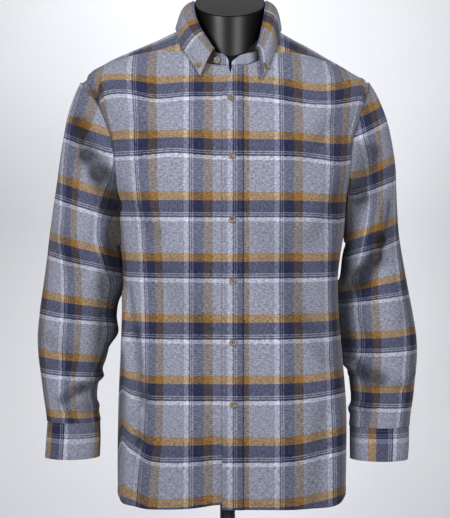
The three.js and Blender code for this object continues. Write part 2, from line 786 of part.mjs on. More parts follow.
frontButtons.forEach(({ x, z }, i) => {
  const { p, n } = onBody(bodyPoint(turnAtX(x, z), z));
  addButton(`front_button_${i + 1}`, p.addScaledVector(n, placketOut), n);
});

// Point of a grid of walls at two shares, with the direction of its face there.
function gridPoint(grid, rowShare, columnShare) {
  const row = Math.min(Math.floor(rowShare), grid.length - 2);
  const column = Math.min(Math.floor(columnShare), grid[0].length - 2);
  const a = grid[row][column].p;
  const b = grid[row + 1][column].p;
  const c = grid[row][column + 1].p;
  const p = a.clone()
    .addScaledVector(b.clone().sub(a), rowShare - row)
    .addScaledVector(c.clone().sub(a), columnShare - column);
  const n = b.clone().sub(a).cross(c.clone().sub(a)).normalize();
  if (n.dot(grid[row][column].n) < 0) n.negate();
  return { p, n };
}

const neckButton = gridPoint(standGrid, 1.3, 0.7);
addButton('neck_button', neckButton.p, neckButton.n);
const leafEnd = leafGrid.length - 1;
const pointRight = gridPoint(leafGrid, 0.5, 4.2);
addButton('collar_button_right', pointRight.p, pointRight.n);
const pointLeft = gridPoint(leafGrid, leafEnd - 0.5, 4.2);
addButton('collar_button_left', pointLeft.p, pointLeft.n);
for (const [viewSide, side, wearer] of [['left', -1, 'right'], ['right', 1, 'left']]) {
  const spot = gridPoint(cuffGrid(side, cuffRows[viewSide]), 0.9, slitColumns[1] + 0.5);
  addButton(`cuff_button_${wearer}`, spot.p, spot.n);
}

// Dress form: torso that follows the shirt from inside, joined to a tilted neck

function toManifold(geometry) {
  const mesh = new wasm.Mesh({
    numProp: 3,
    vertProperties: new Float32Array(geometry.getAttribute('position').array),
    triVerts: new Uint32Array(geometry.getIndex().array),
  });
  return new wasm.Manifold(mesh);
}

function fromManifold(solid) {
  const mesh = solid.getMesh();
  const geometry = new THREE.BufferGeometry();
  geometry.setAttribute('position', new THREE.Float32BufferAttribute(mesh.vertProperties, 3));
  geometry.setIndex(new THREE.Uint32BufferAttribute(mesh.triVerts, 1));
  geometry.computeVertexNormals();
  return geometry;
}

// Closed solid through rings of points, with flat ends.
function ringSolid(rings) {
  const positions = [];
  const index = [];
  const count = rings[0].length;
  for (const ring of rings) for (const p of ring) positions.push(...p.toArray());
  for (let r = 0; r + 1 < rings.length; r += 1) {
    for (let c = 0; c < count; c += 1) {
      const next = (c + 1) % count;
      const a = r * count + c;
      const b = r * count + next;
      index.push(a, b, b + count, a, b + count, a + count);
    }
  }
  for (const [ring, first] of [[rings[0], 0], [rings[rings.length - 1], (rings.length - 1) * count]]) {
    const middle = ring.reduce((sum, p) => sum.add(p), new THREE.Vector3()).divideScalar(count);
    const hub = positions.length / 3;
    positions.push(...middle.toArray());
    for (let c = 0; c < count; c += 1) {
      const next = (c + 1) % count;
      if (first === 0) index.push(hub, first + next, first + c);
      else index.push(hub, first + c, first + next);
    }
  }
  const geometry = new THREE.BufferGeometry();
  geometry.setAttribute('position', new THREE.Float32BufferAttribute(positions, 3));
  geometry.setIndex(index);
  return geometry;
}

function formRing(height, extra = 0) {
  const ring = [];
  for (let c = 0; c < formColumns; c += 1) {
    const turn = (2 * Math.PI * c) / formColumns + 1e-4;
    const p = bodyPoint(turn, height);
    const inwards = clothThickness + tableValue(formGaps, 'gap', height) + extra;
    ring.push(p.addScaledVector(bodyNormal(p), -inwards));
  }
  return ring;
}

const bottomRound = [
  { up: 0, inwards: 26 },
  { up: 8, inwards: 12 },
  { up: 22, inwards: 3 },
];
const torsoRings = bottomRound
  .map(({ up, inwards }) => formRing(formBottom + up, inwards).map((p) => p.setZ(formBottom + up)));
for (const height of formHeights) torsoRings.push(formRing(height));
const torso = ringSolid(torsoRings);

const tilt = THREE.MathUtils.degToRad(neckTilt);
function neckRing(share, radius) {
  const lean = mix(0, tilt, share);
  const ring = [];
  for (let c = 0; c < formColumns; c += 1) {
    const turn = (2 * Math.PI * c) / formColumns;
    const forward = -radius * Math.cos(turn);
    ring.push(new THREE.Vector3(
      radius * Math.sin(turn),
      mix(neckRoot.y, neckTop.y, share) + forward * Math.cos(lean),
      mix(neckRoot.z, neckTop.z, share) + forward * Math.sin(lean),
    ));
  }
  return ring;
}
const neck = ringSolid([
  neckRing(0, neckRadius + 2),
  neckRing(0.5, neckRadius),
  neckRing(0.75, neckRadius - 0.5),
  neckRing(1, neckRadius),
]);
const form = toManifold(torso).add(toManifold(neck));
addMesh('form_torso', fromManifold(form), black);

const cap = new THREE.CylinderGeometry(neckRadius - 1, neckRadius - 1, capThickness, formColumns);
const capMesh = addMesh('form_neck_cap', cap, { color: '#4a4a4c', roughness: 0.7, metalness: 0 });
capMesh.rotation.x = Math.PI / 2 + tilt;
const capLift = capThickness / 2 + seamGap;
capMesh.position.set(0, neckTop.y - capLift * Math.sin(tilt), neckTop.z + capLift * Math.cos(tilt));

// Pole and base

const poleTop = formBottom - seamGap;
const poleFoot = baseThickness + seamGap;
const pole = addMesh('stand_pole',
  new THREE.CylinderGeometry(poleRadius, poleRadius, poleTop - poleFoot, 24),
  { color: '#3b3b3f', roughness: 0.3, metalness: 0.9 });
pole.rotation.x = Math.PI / 2;
pole.position.set(poleX, 0, (poleTop + poleFoot) / 2);

const baseProfile = [
  new THREE.Vector2(0, 0),
  new THREE.Vector2(baseRadius, 0),
  new THREE.Vector2(baseRadius, 4),
  new THREE.Vector2(baseRadius - 6, 8),
  new THREE.Vector2(40, baseThickness),
  new THREE.Vector2(0, baseThickness),
];
const base = addMesh('stand_base', new THREE.LatheGeometry(baseProfile, 48),
  { color: '#2c2c2f', roughness: 0.4, metalness: 0.8 });
base.rotation.x = Math.PI / 2;

export default group;
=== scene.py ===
# Looks of a checked flannel shirt on its dress form: fine cloth shells in place of the packed
# solids, with weave, folds, stitching and buttons, then floor, light and camera.
# Lengths are millimetres until a mesh is made. "left" and "right" are the viewer's, and the
# wearer's only in the names of pieces.
import bmesh
import bpy
import json
import math
import numpy as np
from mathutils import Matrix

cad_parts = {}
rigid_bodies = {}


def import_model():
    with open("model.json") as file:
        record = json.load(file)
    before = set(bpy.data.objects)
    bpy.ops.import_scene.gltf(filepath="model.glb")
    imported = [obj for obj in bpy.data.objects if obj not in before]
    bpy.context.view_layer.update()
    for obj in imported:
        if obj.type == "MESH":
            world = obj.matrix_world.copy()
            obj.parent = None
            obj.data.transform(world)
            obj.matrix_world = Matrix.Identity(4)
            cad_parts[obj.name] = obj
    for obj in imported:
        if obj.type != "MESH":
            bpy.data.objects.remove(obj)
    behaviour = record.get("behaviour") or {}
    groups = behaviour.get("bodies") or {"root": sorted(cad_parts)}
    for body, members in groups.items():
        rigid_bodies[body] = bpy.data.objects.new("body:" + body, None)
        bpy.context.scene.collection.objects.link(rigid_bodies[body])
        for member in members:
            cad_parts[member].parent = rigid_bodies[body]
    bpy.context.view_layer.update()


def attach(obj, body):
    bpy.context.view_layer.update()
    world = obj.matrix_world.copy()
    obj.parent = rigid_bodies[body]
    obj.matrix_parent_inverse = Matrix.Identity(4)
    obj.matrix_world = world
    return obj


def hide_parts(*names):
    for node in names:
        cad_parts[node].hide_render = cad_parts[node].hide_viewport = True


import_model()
print("packed parts loaded")


# Tables: the first column is the one that the others are looked up by.
def table(columns, rows):
    return dict(zip(columns.split(), np.array(rows, float).T))


# A smooth value of one column: a cubic between rows whose slopes come from the rows on both sides.
def tableValue(rows, column, at):
    keys, values = next(iter(rows.values())), rows[column]
    slopes = np.empty_like(values)
    slopes[1:-1] = (values[2:] - values[:-2]) / (keys[2:] - keys[:-2])
    slopes[0] = (values[1] - values[0]) / (keys[1] - keys[0])
    slopes[-1] = (values[-1] - values[-2]) / (keys[-1] - keys[-2])
    at = np.clip(at, keys[0], keys[-1])
    i = np.clip(np.searchsorted(keys, at, side="right") - 1, 0, len(keys) - 2)
    span = keys[i + 1] - keys[i]
    t = (at - keys[i]) / span
    return ((2 * t**3 - 3 * t**2 + 1) * values[i] + (t**3 - 2 * t**2 + t) * span * slopes[i]
            + (3 * t**2 - 2 * t**3) * values[i + 1] + (t**3 - t**2) * span * slopes[i + 1])


def mix(a, b, t):
    return a + (b - a) * t


def smooth(t):
    t = np.clip(t, 0, 1)
    return t * t * (3 - 2 * t)


def point(x, y, z):
    return np.stack(np.broadcast_arrays(x, y, z), -1).astype(float)


def unit(v):
    return v / np.maximum(np.linalg.norm(v, axis=-1, keepdims=True), 1e-9)


# Sizes shared by the pieces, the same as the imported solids'
hemHeight, hemSideRise = 266, 14
underarmHeight, shoulderHeight = 694, 948
neckSideHeight, neckFrontHeight = 1042, 970
neckHalfWidth, neckRise, yokeCornerX, yokeBackHeight = 70, 1.5, 56, 935
armholeHalfDepth, yokeFrontStep, yokeBackStep = 62, 9, 8
placketLeft, placketRight, underEdge, openStart = -13, 20, 17, 915
neckShare = 0.3  # part of a front panel's width that ends at the neckline
widestHeight = {-1: 948, 1: 933}  # where each side of the body is widest
capLow, capHigh = 880.0, 1058.0  # the shoulders' top lies between these heights

# Body sections: half widths to each side, half depths to front and back, and squareness (2 is an
# ellipse)
bodySections = table("height left right front back square", [
    (250, 183, 188, 128, 131, 4.2), (340, 184, 190, 127, 134, 4.2), (420, 183, 190, 125, 136, 4.0),
    (500, 180, 184, 122, 130, 3.8), (560, 178, 179, 120, 122, 3.6), (620, 176, 177, 121, 117, 3.4),
    (660, 178, 181, 124, 118, 3.2), (694, 183, 187, 127, 121, 3.0), (754, 189, 196, 131, 127, 2.8),
    (800, 197, 205, 133, 130, 2.65), (850, 205, 212, 131, 131, 2.5), (888, 218, 223, 124, 129, 2.4),
    (914, 229, 229, 116, 125, 2.3), (933, 240, 232, 107, 120, 2.3), (948, 247, 229, 98, 114, 2.3),
    (957, 242, 213, 92, 110, 2.3), (966, 231, 198, 87, 106, 2.3), (976, 214, 181, 81, 101, 2.3),
    (989, 187, 158, 73, 94, 2.3), (1007, 144, 127, 61, 84, 2.3), (1020, 114, 102, 53, 76, 2.3),
    (1034, 86, 80, 45, 67, 2.3), (1042, 70, 70, 40, 62, 2.3), (1060, 40, 40, 24, 40, 2.3)])


def sectionSizes(rightSide, frontSide, height):
    left, right, front, back, square = (
        tableValue(bodySections, column, height) for column in list(bodySections)[1:])
    return np.where(rightSide, right, left), np.where(frontSide, front, back), square


# Body surface: x = width * |sin turn|^(2/square), y = -depth * |cos turn|^(2/square), both with
# their signs; turn is 0 at the front middle and a quarter at the right side.
def bodyPoint(turn, height):
    across, along = np.sin(turn), np.cos(turn)
    width, depth, square = sectionSizes(across >= 0, along >= 0, height)
    return point(np.sign(across) * width * np.abs(across) ** (2 / square),
                 -np.sign(along) * depth * np.abs(along) ** (2 / square), height)


# How far out a point is: (|x|/width)^square + (|y|/depth)^square, which is 1 on the surface.
def outness(x, y, z):
    width, depth, square = sectionSizes(x >= 0, y <= 0, z)
    return (np.abs(x) / width) ** square + (np.abs(y) / depth) ** square


# Outward direction: the slopes of outness over a 1.5 mm step each way.
def bodyNormal(p, step=1.5):
    x, y, z = p[..., 0], p[..., 1], p[..., 2]
    return unit(point(outness(x + step, y, z) - outness(x - step, y, z),
                      outness(x, y + step, z) - outness(x, y - step, z),
                      outness(x, y, z + step) - outness(x, y, z - step)))


# Turn where the section of a height reaches x: asin((|x|/width)^(square/2)).
def turnAtX(x, height, back=False):
    x = np.asarray(x, float)
    width, _, square = sectionSizes(x >= 0, True, height)
    turn = np.arcsin(np.clip(np.abs(x) / width, 0, 1) ** (square / 2))
    return np.where(x < 0, -1, 1) * (math.pi - turn if back else turn)


# Height of the surface over a point of the plan, halving the range until it closes on the surface.
# Below the widest section the widest one counts, and x stops just inside it, so the surface is
# crossed once.
def heightOver(x, y, halvings=34, inset=0.975):
    x, y = np.broadcast_arrays(np.asarray(x, float), np.asarray(y, float))
    low, high = np.full(x.shape, capLow), np.full(x.shape, capHigh)
    widest = np.where(x >= 0, widestHeight[1], widestHeight[-1])
    inner = np.minimum(np.abs(x), inset * sectionSizes(x >= 0, True, widest)[0])
    for _ in range(halvings):
        z = (low + high) / 2
        width, _, _ = sectionSizes(x >= 0, True, np.maximum(z, widest))
        _, depth, square = sectionSizes(True, y <= 0, z)
        inside = (inner / width) ** square + (np.abs(y) / depth) ** square < 1
        low, high = np.where(inside, z, low), np.where(inside, high, z)
    return point(x, y, (low + high) / 2)


# Length of cloth round the body from the front middle to a turn, adding up 48 short chords.
def lengthAround(turn, height):
    turn, height = np.broadcast_arrays(turn, height)
    path = bodyPoint(turn[..., None] * np.linspace(0, 1, 49), height[..., None])
    return np.sign(turn) * np.linalg.norm(np.diff(path, axis=-2), axis=-1).sum(-1)


# Armhole: height runs as a cosine from underarm to shoulder, and the inward depth as a sine.
def armholePoint(side, step, back=False):
    angle = math.pi * np.asarray(step, float) / 10
    height = mix(underarmHeight, shoulderHeight, (1 - np.cos(angle)) / 2)
    _, depth, square = sectionSizes(True, not back, height)
    turn = np.arccos(np.clip(armholeHalfDepth * np.sin(angle) / depth, 0, 1) ** (square / 2))
    return bodyPoint(side * (math.pi - turn if back else turn), height)


# Front neckline: x = half width * sin angle, height rises from the front by (1 - cos angle)^1.5.
def neckFrontPoint(side, angle):
    x = side * neckHalfWidth * np.sin(angle)
    z = mix(neckFrontHeight, neckSideHeight, (1 - np.cos(angle)) ** neckRise)
    return bodyPoint(turnAtX(x, z), z)


# Whole neckline by degrees from the back middle, 180 at the front.
def neckPoint(degrees):
    side, around = np.where(degrees < 0, -1, 1), np.radians(np.abs(degrees))
    behind = bodyPoint(side * (math.pi - np.minimum(around, math.pi / 2)), neckSideHeight)
    ahead = neckFrontPoint(side, math.pi - np.maximum(around, math.pi / 2))
    return np.where((around <= math.pi / 2)[..., None], behind, ahead)


def hemAt(turn):
    return hemHeight + hemSideRise * np.abs(np.sin(turn)) ** 6


# Folds: each row is a soft trough (deep < 0) or ridge (deep > 0) along a straight line between two
# places: deep * exp(-(distance/wide)^2), fading out past both ends.
def foldHeight(a, z, folds):
    total = np.zeros(np.broadcast(a, z).shape)
    for fromA, fromZ, toA, toZ, wide, deep in folds:
        alongA, alongZ = toA - fromA, toZ - fromZ
        size = alongA**2 + alongZ**2
        t = ((a - fromA) * alongA + (z - fromZ) * alongZ) / size
        nearest = np.clip(t, 0, 1)
        away = (a - fromA - nearest * alongA) ** 2 + (z - fromZ - nearest * alongZ) ** 2
        total += deep * np.exp(-away / wide**2)
    return total


# Meshes

grids = {}  # finished points and outward directions of each piece, for stitching and buttons


# Outward direction at each point of a grid, from the cross product of its two slopes.
def gridNormals(p, outward, wrap=False):
    q = np.concatenate([p[:, -2:-1], p, p[:, 1:2]], 1) if wrap else p
    down, across = np.gradient(q, axis=0), np.gradient(q, axis=1)
    n = unit(np.cross(across, down))
    n = n[:, 1:-1] if wrap else n
    flip = np.sign((n * outward).sum(-1, keepdims=True).sum())
    return n * (flip if flip else 1)


# The four corners of each square of a grid, in turn.
def squareCorners(grid):
    corners = [grid[:-1, :-1], grid[:-1, 1:], grid[1:, 1:], grid[1:, :-1]]
    return np.stack(corners, 2).reshape((-1, 4) + grid.shape[2:])


def newMesh(name, points, faces):
    mesh = bpy.data.meshes.new(name)
    places = np.concatenate(points) * 0.001
    mesh.from_pydata(places.tolist(), [], np.concatenate(faces).tolist())
    return mesh


def newObject(name, mesh):
    mesh.shade_smooth()
    made = bpy.data.objects.new(name, mesh)
    bpy.context.scene.collection.objects.link(made)
    return made


# A mesh of square faces over one or more grids, welded where they touch, with the cloth's own
# coordinates in mm as its map. Faces are turned so that they look along the grids' directions. An
# optional grid of 0 to 1 is painted shade: how much darker the colour is painted at each point.
def clothMesh(name, patches, thickness, wrap=False, crease=None):
    points, faces, weaves, start = [], [], [], 0
    for p, n, weave in patches:
        rows, columns = p.shape[:2]
        ids = start + np.arange(rows * columns).reshape(rows, columns)
        if wrap:
            ids[:, -1] = ids[:, 0]
        quads, maps = squareCorners(ids), squareCorners(weave)
        facing = np.cross(p[1:, :-1] - p[:-1, :-1], p[:-1, 1:] - p[:-1, :-1])
        if (facing * n[:-1, :-1]).sum() > 0:
            quads, maps = quads[:, ::-1], maps[:, ::-1]
        points.append(p.reshape(-1, 3))
        faces.append(quads)
        weaves.append(maps.reshape(-1, 2))
        start += rows * columns
    mesh = newMesh(name, points, faces)
    layer = mesh.uv_layers.new(name="weave")
    layer.data.foreach_set("uv", np.concatenate(weaves).astype(np.float32).ravel())
    # painted shade: a value on each point that darkens the cloth's colour in the material
    if crease is not None:
        deep = mesh.attributes.new("crease", "FLOAT", "POINT")
        deep.data.foreach_set("value", np.clip(crease, 0, 1).astype(np.float32).ravel())
    weldGrids(mesh)
    made = newObject(name, mesh)
    wall = made.modifiers.new("cloth thickness", "SOLIDIFY")
    wall.thickness = thickness * 0.001
    wall.offset = -1
    wall.use_even_offset = False
    return made


# Joins points of neighbouring grids within 0.02 mm, and drops those that no face uses.
def weldGrids(mesh):
    work = bmesh.new()
    work.from_mesh(mesh)
    bmesh.ops.remove_doubles(work, verts=work.verts, dist=2e-5)
    loose = [v for v in work.verts if not v.link_faces]
    bmesh.ops.delete(work, geom=loose, context="VERTS")
    work.to_mesh(mesh)
    work.free()


def finish(made, material, *nodes):
    made.data.materials.clear()
    made.data.materials.append(material)
    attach(made, "root")
    for name in nodes:
        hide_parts(name)
    return made


# A closed solid over one or more grids of points: doubled points are joined, faces with no area
# dropped, and every face turned outwards.
def solidMesh(name, parts, material, *nodes):
    points, faces, start = [], [], 0
    for p in parts:
        rows, columns = p.shape[:2]
        ids = start + np.arange(rows * columns).reshape(rows, columns)
        points.append(p.reshape(-1, 3))
        faces.append(squareCorners(ids))
        start += rows * columns
    mesh = newMesh(name, points, faces)
    work = bmesh.new()
    work.from_mesh(mesh)
    bmesh.ops.remove_doubles(work, verts=work.verts, dist=1e-6)
    bmesh.ops.dissolve_degenerate(work, edges=work.edges, dist=1e-7)
    bmesh.ops.recalc_face_normals(work, faces=work.faces)
    work.to_mesh(mesh)
    work.free()
    return finish(newObject(name, mesh), material, *nodes)


# Colours and materials

def toLinear(code):
    parts = [int(code[i:i + 2], 16) / 255 for i in (1, 3, 5)]
    linear = [c / 12.92 if c <= 0.04045 else ((c + 0.055) / 1.055) ** 2.4 for c in parts]
    return (*linear, 1.0)


# Adds one node; inputs hold values, or a (node, output) pair for a link; the rest are its settings.
def addNode(tree, kind, inputs=None, **settings):
    made = tree.nodes.new("ShaderNode" + kind)
    for key, value in settings.items():
        setattr(made, key, value)
    for key, value in (inputs or {}).items():
        if isinstance(value, tuple) and isinstance(value[0], bpy.types.Node):
            tree.links.new(value[0].outputs[value[1]], made.inputs[key])
        else:
            made.inputs[key].default_value = value
    return made


def newMaterial(name):
    material = bpy.data.materials.new(name)
    material.use_nodes = True
    tree = material.node_tree
    tree.nodes.clear()
    shader = addNode(tree, "BsdfPrincipled")
    addNode(tree, "OutputMaterial", {"Surface": (shader, "BSDF")})
    return material, tree, shader


def connect(tree, fromPair, shader, socket):
    tree.links.new(fromPair[0].outputs[fromPair[1]], shader.inputs[socket])


# The check: bands across the warp (left to right) and along the weft (upwards), each from its mm
# after the middle of the pale stripe. The weft lies more on the face, so it shows more.
check = {
    "warpRepeat": 86.5, "weftRepeat": 96.7, "weftShare": 0.59,
    "warp": [(0, "pale"), (4.0, "navy"), (6.4, "grey"), (8.0, "navy"), (9.6, "grey"),
             (11.4, "navy"), (27.7, "brown"), (42.0, "grey"), (82.5, "pale")],
    "weft": [(0, "pale"), (3.2, "navy"), (6.3, "grey"), (7.9, "navy"), (9.5, "grey"),
             (11.0, "navy"), (30.0, "ochre"), (43.4, "grey"), (93.5, "pale")],
    "yarns": {"grey": "#8E91A1", "pale": "#C8CCDD", "navy": "#272B47", "ochre": "#9C7238",
              "brown": "#6C5439"},
    "creaseShade": 0.5,  # how much darker painted shade makes the colour at the bottom of a deep crease
    "heather": 0.54,     # how strongly single yarns differ in tone
    "nap": 0.00035,      # height of the brushed fuzz, m
}


# Brushed flannel: two sets of coloured bands mixed as yarns mix to the eye, flecked along both yarn
# directions like heathered wool-look cotton, with a fine twill and a soft fuzzy bump and sheen.
def flannelMaterial():
    material, tree, shader = newMaterial("brushedCheckFlannel")
    weave = addNode(tree, "UVMap", uv_map="weave")
    # threads stray from straight by up to 1 mm, over about 3 mm
    stray = addNode(tree, "TexNoise", {"Vector": (weave, "UV"), "Scale": 0.35, "Detail": 3.0})
    strayBy = addNode(tree, "VectorMath", {0: (stray, "Color"), 1: (0.5, 0.5, 0.5)},
                      operation="SUBTRACT")
    moved = addNode(tree, "VectorMath", {0: (strayBy, "Vector"), 1: (2.0, 2.0, 0.0),
                                         2: (weave, "UV")}, operation="MULTIPLY_ADD")
    perRepeat = (1 / check["warpRepeat"], 1 / check["weftRepeat"], 0.0)
    repeats = addNode(tree, "VectorMath", {0: (moved, "Vector"), 1: perRepeat},
                      operation="MULTIPLY")
    part = addNode(tree, "VectorMath", {0: (repeats, "Vector")}, operation="FRACTION")
    axes = addNode(tree, "SeparateXYZ", {"Vector": (part, "Vector")})
    shown = []
    for axis, bands in (("X", "warp"), ("Y", "weft")):
        repeat = check[bands + "Repeat"]
        ramp = addNode(tree, "ValToRGB", {"Fac": (axes, axis)})
        ramp.color_ramp.interpolation = "CONSTANT"
        stops = ramp.color_ramp.elements
        while len(stops) > 1:
            stops.remove(stops[-1])
        for i, (start, yarn) in enumerate(check[bands]):
            stop = stops[0] if i == 0 else stops.new(start / repeat)
            stop.position, stop.color = start / repeat, toLinear(check["yarns"][yarn])
        shown.append(addNode(tree, "Gamma", {"Color": (ramp, "Color"), "Gamma": 1 / 2.2}))
    # yarn-long flecks, drawn out 3 to 1 along each yarn
    flecks = []
    for stretch in ((0.3, 1.0, 1.0), (1.0, 0.3, 1.0)):
        drawn = addNode(tree, "VectorMath", {0: (weave, "UV"), 1: stretch}, operation="MULTIPLY")
        noise = addNode(tree, "TexNoise", {"Vector": (drawn, "Vector"), "Scale": 0.55,
                                           "Detail": 2.5})
        tones = {"To Min": 1 - check["heather"] / 2, "To Max": 1 + check["heather"] / 2}
        flecks.append(addNode(tree, "MapRange", {"Value": (noise, "Fac"), "From Min": 0.32,
                                                 "From Max": 0.68, **tones}))
    mixed = addNode(tree, "Mix", {"Factor": check["weftShare"]}, data_type="RGBA")
    for slot, colour, fleck in ((6, shown[0], flecks[1]), (7, shown[1], flecks[0])):
        toned = addNode(tree, "VectorMath", {0: (colour, "Color"), 1: (fleck, "Result")},
                        operation="MULTIPLY")
        tree.links.new(toned.outputs["Vector"], mixed.inputs[slot])
    # painted shade: the point value from the cloth mesh darkens the colour, by creaseShade at most
    deep = addNode(tree, "Attribute", attribute_name="crease", attribute_type="GEOMETRY")
    left = addNode(tree, "MapRange", {"Value": (deep, "Fac"), "To Min": 1.0,
                                      "To Max": 1 - check["creaseShade"]})
    shaded = addNode(tree, "VectorMath", {1: (left, "Result")}, operation="MULTIPLY")
    tree.links.new(mixed.outputs[2], shaded.inputs[0])
    light = addNode(tree, "Gamma", {"Color": (shaded, "Vector"), "Gamma": 2.2})
    connect(tree, (light, "Color"), shader, "Base Color")
    # twill lines 2.4 mm apart, coarser than the real 0.8 mm so that they don't shimmer at this size
    twill = addNode(tree, "TexWave", {"Vector": (weave, "UV"), "Scale": 0.13, "Distortion": 1.2,
                                      "Detail": 1.0}, wave_type="BANDS", bands_direction="DIAGONAL")
    fuzz = addNode(tree, "TexNoise", {"Vector": (weave, "UV"), "Scale": 0.7, "Detail": 4.0,
                                      "Roughness": 0.65})
    height = addNode(tree, "Mix", {0: 0.2, 2: (fuzz, "Fac"), 3: (twill, "Fac")}, data_type="FLOAT")
    bump = addNode(tree, "Bump", {"Strength": 0.7, "Distance": check["nap"], "Height": (height, 0)})
    connect(tree, (bump, "Normal"), shader, "Normal")
    shader.inputs["Roughness"].default_value = 0.92
    shader.inputs["Specular IOR Level"].default_value = 0.15
    shader.inputs["Sheen Weight"].default_value = 0.12
    shader.inputs["Sheen Roughness"].default_value = 0.5
    return material


# Hard glossy or satin surface, clouded between two colours and slightly uneven, which keeps its
# highlights from looking perfect. Scale is the number of clouds in a metre.
def hardMaterial(name, colour, second, roughness, scale, metallic=0.0, coat=0.0,
                 bumpHeight=0.00002, shine=0.5):
    material, tree, shader = newMaterial(name)
    place = addNode(tree, "TexCoord")
    cloud = addNode(tree, "TexNoise", {"Vector": (place, "Object"), "Scale": scale, "Detail": 4.0})
    ramp = addNode(tree, "ValToRGB", {"Fac": (cloud, "Fac")})
    for stop, at, code in zip(ramp.color_ramp.elements, (0.35, 0.68), (colour, second)):
        stop.position, stop.color = at, toLinear(code)
    connect(tree, (ramp, "Color"), shader, "Base Color")
    rough = addNode(tree, "MapRange", {"Value": (cloud, "Fac"), "To Min": roughness * 0.8,
                                       "To Max": roughness * 1.25})
    connect(tree, (rough, "Result"), shader, "Roughness")
    bump = addNode(tree, "Bump", {"Strength": 0.3, "Distance": bumpHeight,
                                  "Height": (cloud, "Fac")})
    connect(tree, (bump, "Normal"), shader, "Normal")
    shader.inputs["Metallic"].default_value = metallic
    shader.inputs["Coat Weight"].default_value = coat
    shader.inputs["Specular IOR Level"].default_value = shine
    return material


flannel = flannelMaterial()
# glossy lacquer over a moulded form: broad soft highlights
glossBlack = hardMaterial("blackLacqueredForm", "#08080A", "#0C0C0F", 0.38, 8.0, shine=0.3)
# satin paint on the cap: one even grey
capGrey = hardMaterial("greyPaintedCap", "#29292B", "#323133", 0.55, 60.0)
# drawn steel tube: dark, with a narrow bright line
darkSteel = hardMaterial("brushedDarkSteel", "#3A3A3E", "#55555A", 0.32, 120.0, metallic=0.9)
# powder coat: a fine grit that breaks up the shine
darkPaint = hardMaterial("powderCoatedBase", "#232326", "#2E2E32", 0.5, 400.0, metallic=0.3,
                         bumpHeight=0.0002)
# horn: brown and cream clouds 2 mm across under a polish
horn = hardMaterial("mottledHornButton", "#4E4136", "#A89A86", 0.3, 420.0, coat=0.3)
# spun cotton: matt, its plies just seen
thread = hardMaterial("greyCottonThread", "#5C6070", "#7B7F8E", 0.85, 900.0, bumpHeight=0.0001)
print("materials made")


# Front panels and placket

# Rows give arc mm from the front middle (left is negative, past the side seam is the back), height,
# then the same at the other end, then half width and depth.
bodyFolds = [
    (-176, 610, -158, 540, 9, -4.0), (-158, 540, -141, 440, 10, -6.0),
    (-141, 440, -146, 370, 10, -6.0), (-146, 370, -160, 262, 13, -5.0),
    (-190, 600, -172, 520, 14, 5.0), (-172, 520, -160, 420, 14, 6.0),
    (-160, 420, -172, 262, 16, 5.0), (-118, 470, -126, 262, 16, 3.0),
    (-62, 400, -44, 262, 26, 3.0), (-24, 380, -18, 262, 14, -3.0), (150, 420, 128, 262, 20, -3.5),
    (176, 400, 170, 262, 20, 3.5), (84, 380, 96, 262, 24, 2.5), (-186, 760, -120, 700, 16, -2.5),
    (190, 770, 130, 690, 18, -3.0), (-150, 830, -100, 800, 20, 2.0),
    (150, 900, 112, 860, 14, 2.5), (168, 880, 128, 826, 12, -3.0),
    (-160, 880, -118, 850, 14, -2.0), (-100, 640, -60, 560, 30, -2.0),
    (60, 700, 110, 590, 30, -2.0), (120, 560, 158, 500, 18, -3.0), (420, 640, 330, 560, 26, -3.5),
    (-430, 660, -330, 590, 24, -3.0), (-400, 420, -380, 262, 22, 4.0),
    (-340, 440, -352, 262, 20, -4.0), (350, 430, 366, 262, 22, -4.0),
    (410, 400, 400, 262, 22, 4.0), (-470, 900, -440, 700, 26, 2.5), (450, 880, 470, 720, 26, 2.0),
    (-300, 780, -360, 700, 18, -3.0), (300, 790, 356, 706, 18, -3.0),
]

grainFit = table("height left right", [  # how many mm of cloth lie in 1 mm of surface
    (250, 0.97, 1.0), (323, 1.05, 1.0), (396, 1.2, 1.0), (557, 1.22, 1.0), (631, 1.16, 1.0),
    (705, 1.08, 1.0), (757, 0.98, 1.0), (821, 0.94, 1.0), (914, 0.92, 1.0), (1050, 0.88, 1.0)])
weftZero = 723.5  # height of a pale weft stripe at the front
# Where the weft runs off level: arc mm, height, half widths of the place, mm upwards
weftLift = [
    (-180, 385, 27, 80, 27), (-166, 315, 45, 55, 10), (188, 330, 62, 140, 14),
    (150, 930, 70, 55, -17), (-118, 925, 32, 45, -5), (-90, 822, 45, 45, 5),
    (182, 815, 50, 50, -8), (-180, 905, 40, 40, 6), (-120, 300, 40, 60, -3),
    (180, 720, 40, 40, -4),
]
hemWave = [(-13, 266, 45, 90, 8)]  # where the cloth itself is drawn up, in the same way
frontPanels = {
    "wall": 1.2, "columns": 84,
    "paleLeft": -69.8, "paleRight": 73.7,  # arc mm from the front middle to a pale warp stripe
    # x of the strip under the placket, low down and at the neck
    "underStrip": [(underEdge, -2), (12, -4), (7, -6), (2, -8), (-3, -10), (-8, -11.5)],
}
placket = {
    "wall": 1.9, "lift": 2.5, "columns": 16, "pale": -0.4,
    "x": [placketLeft, 2, 17, placketRight], "topX": [3, 8, 18, 20],  # low down and at the neck
}
hemFold = {"proud": 0.5, "tall": 7, "fade": 2}  # the turned-up hem
deepFold = 12  # a trough this deep has the full painted shade


# Sum of soft round hills: up * exp(-(da/wideA)^2 - (dz/wideZ)^2).
def hills(a, z, rows):
    return sum(up * np.exp(-((a - atA) / wideA) ** 2 - ((z - atZ) / wideZ) ** 2)
               for atA, atZ, wideA, wideZ, up in rows)


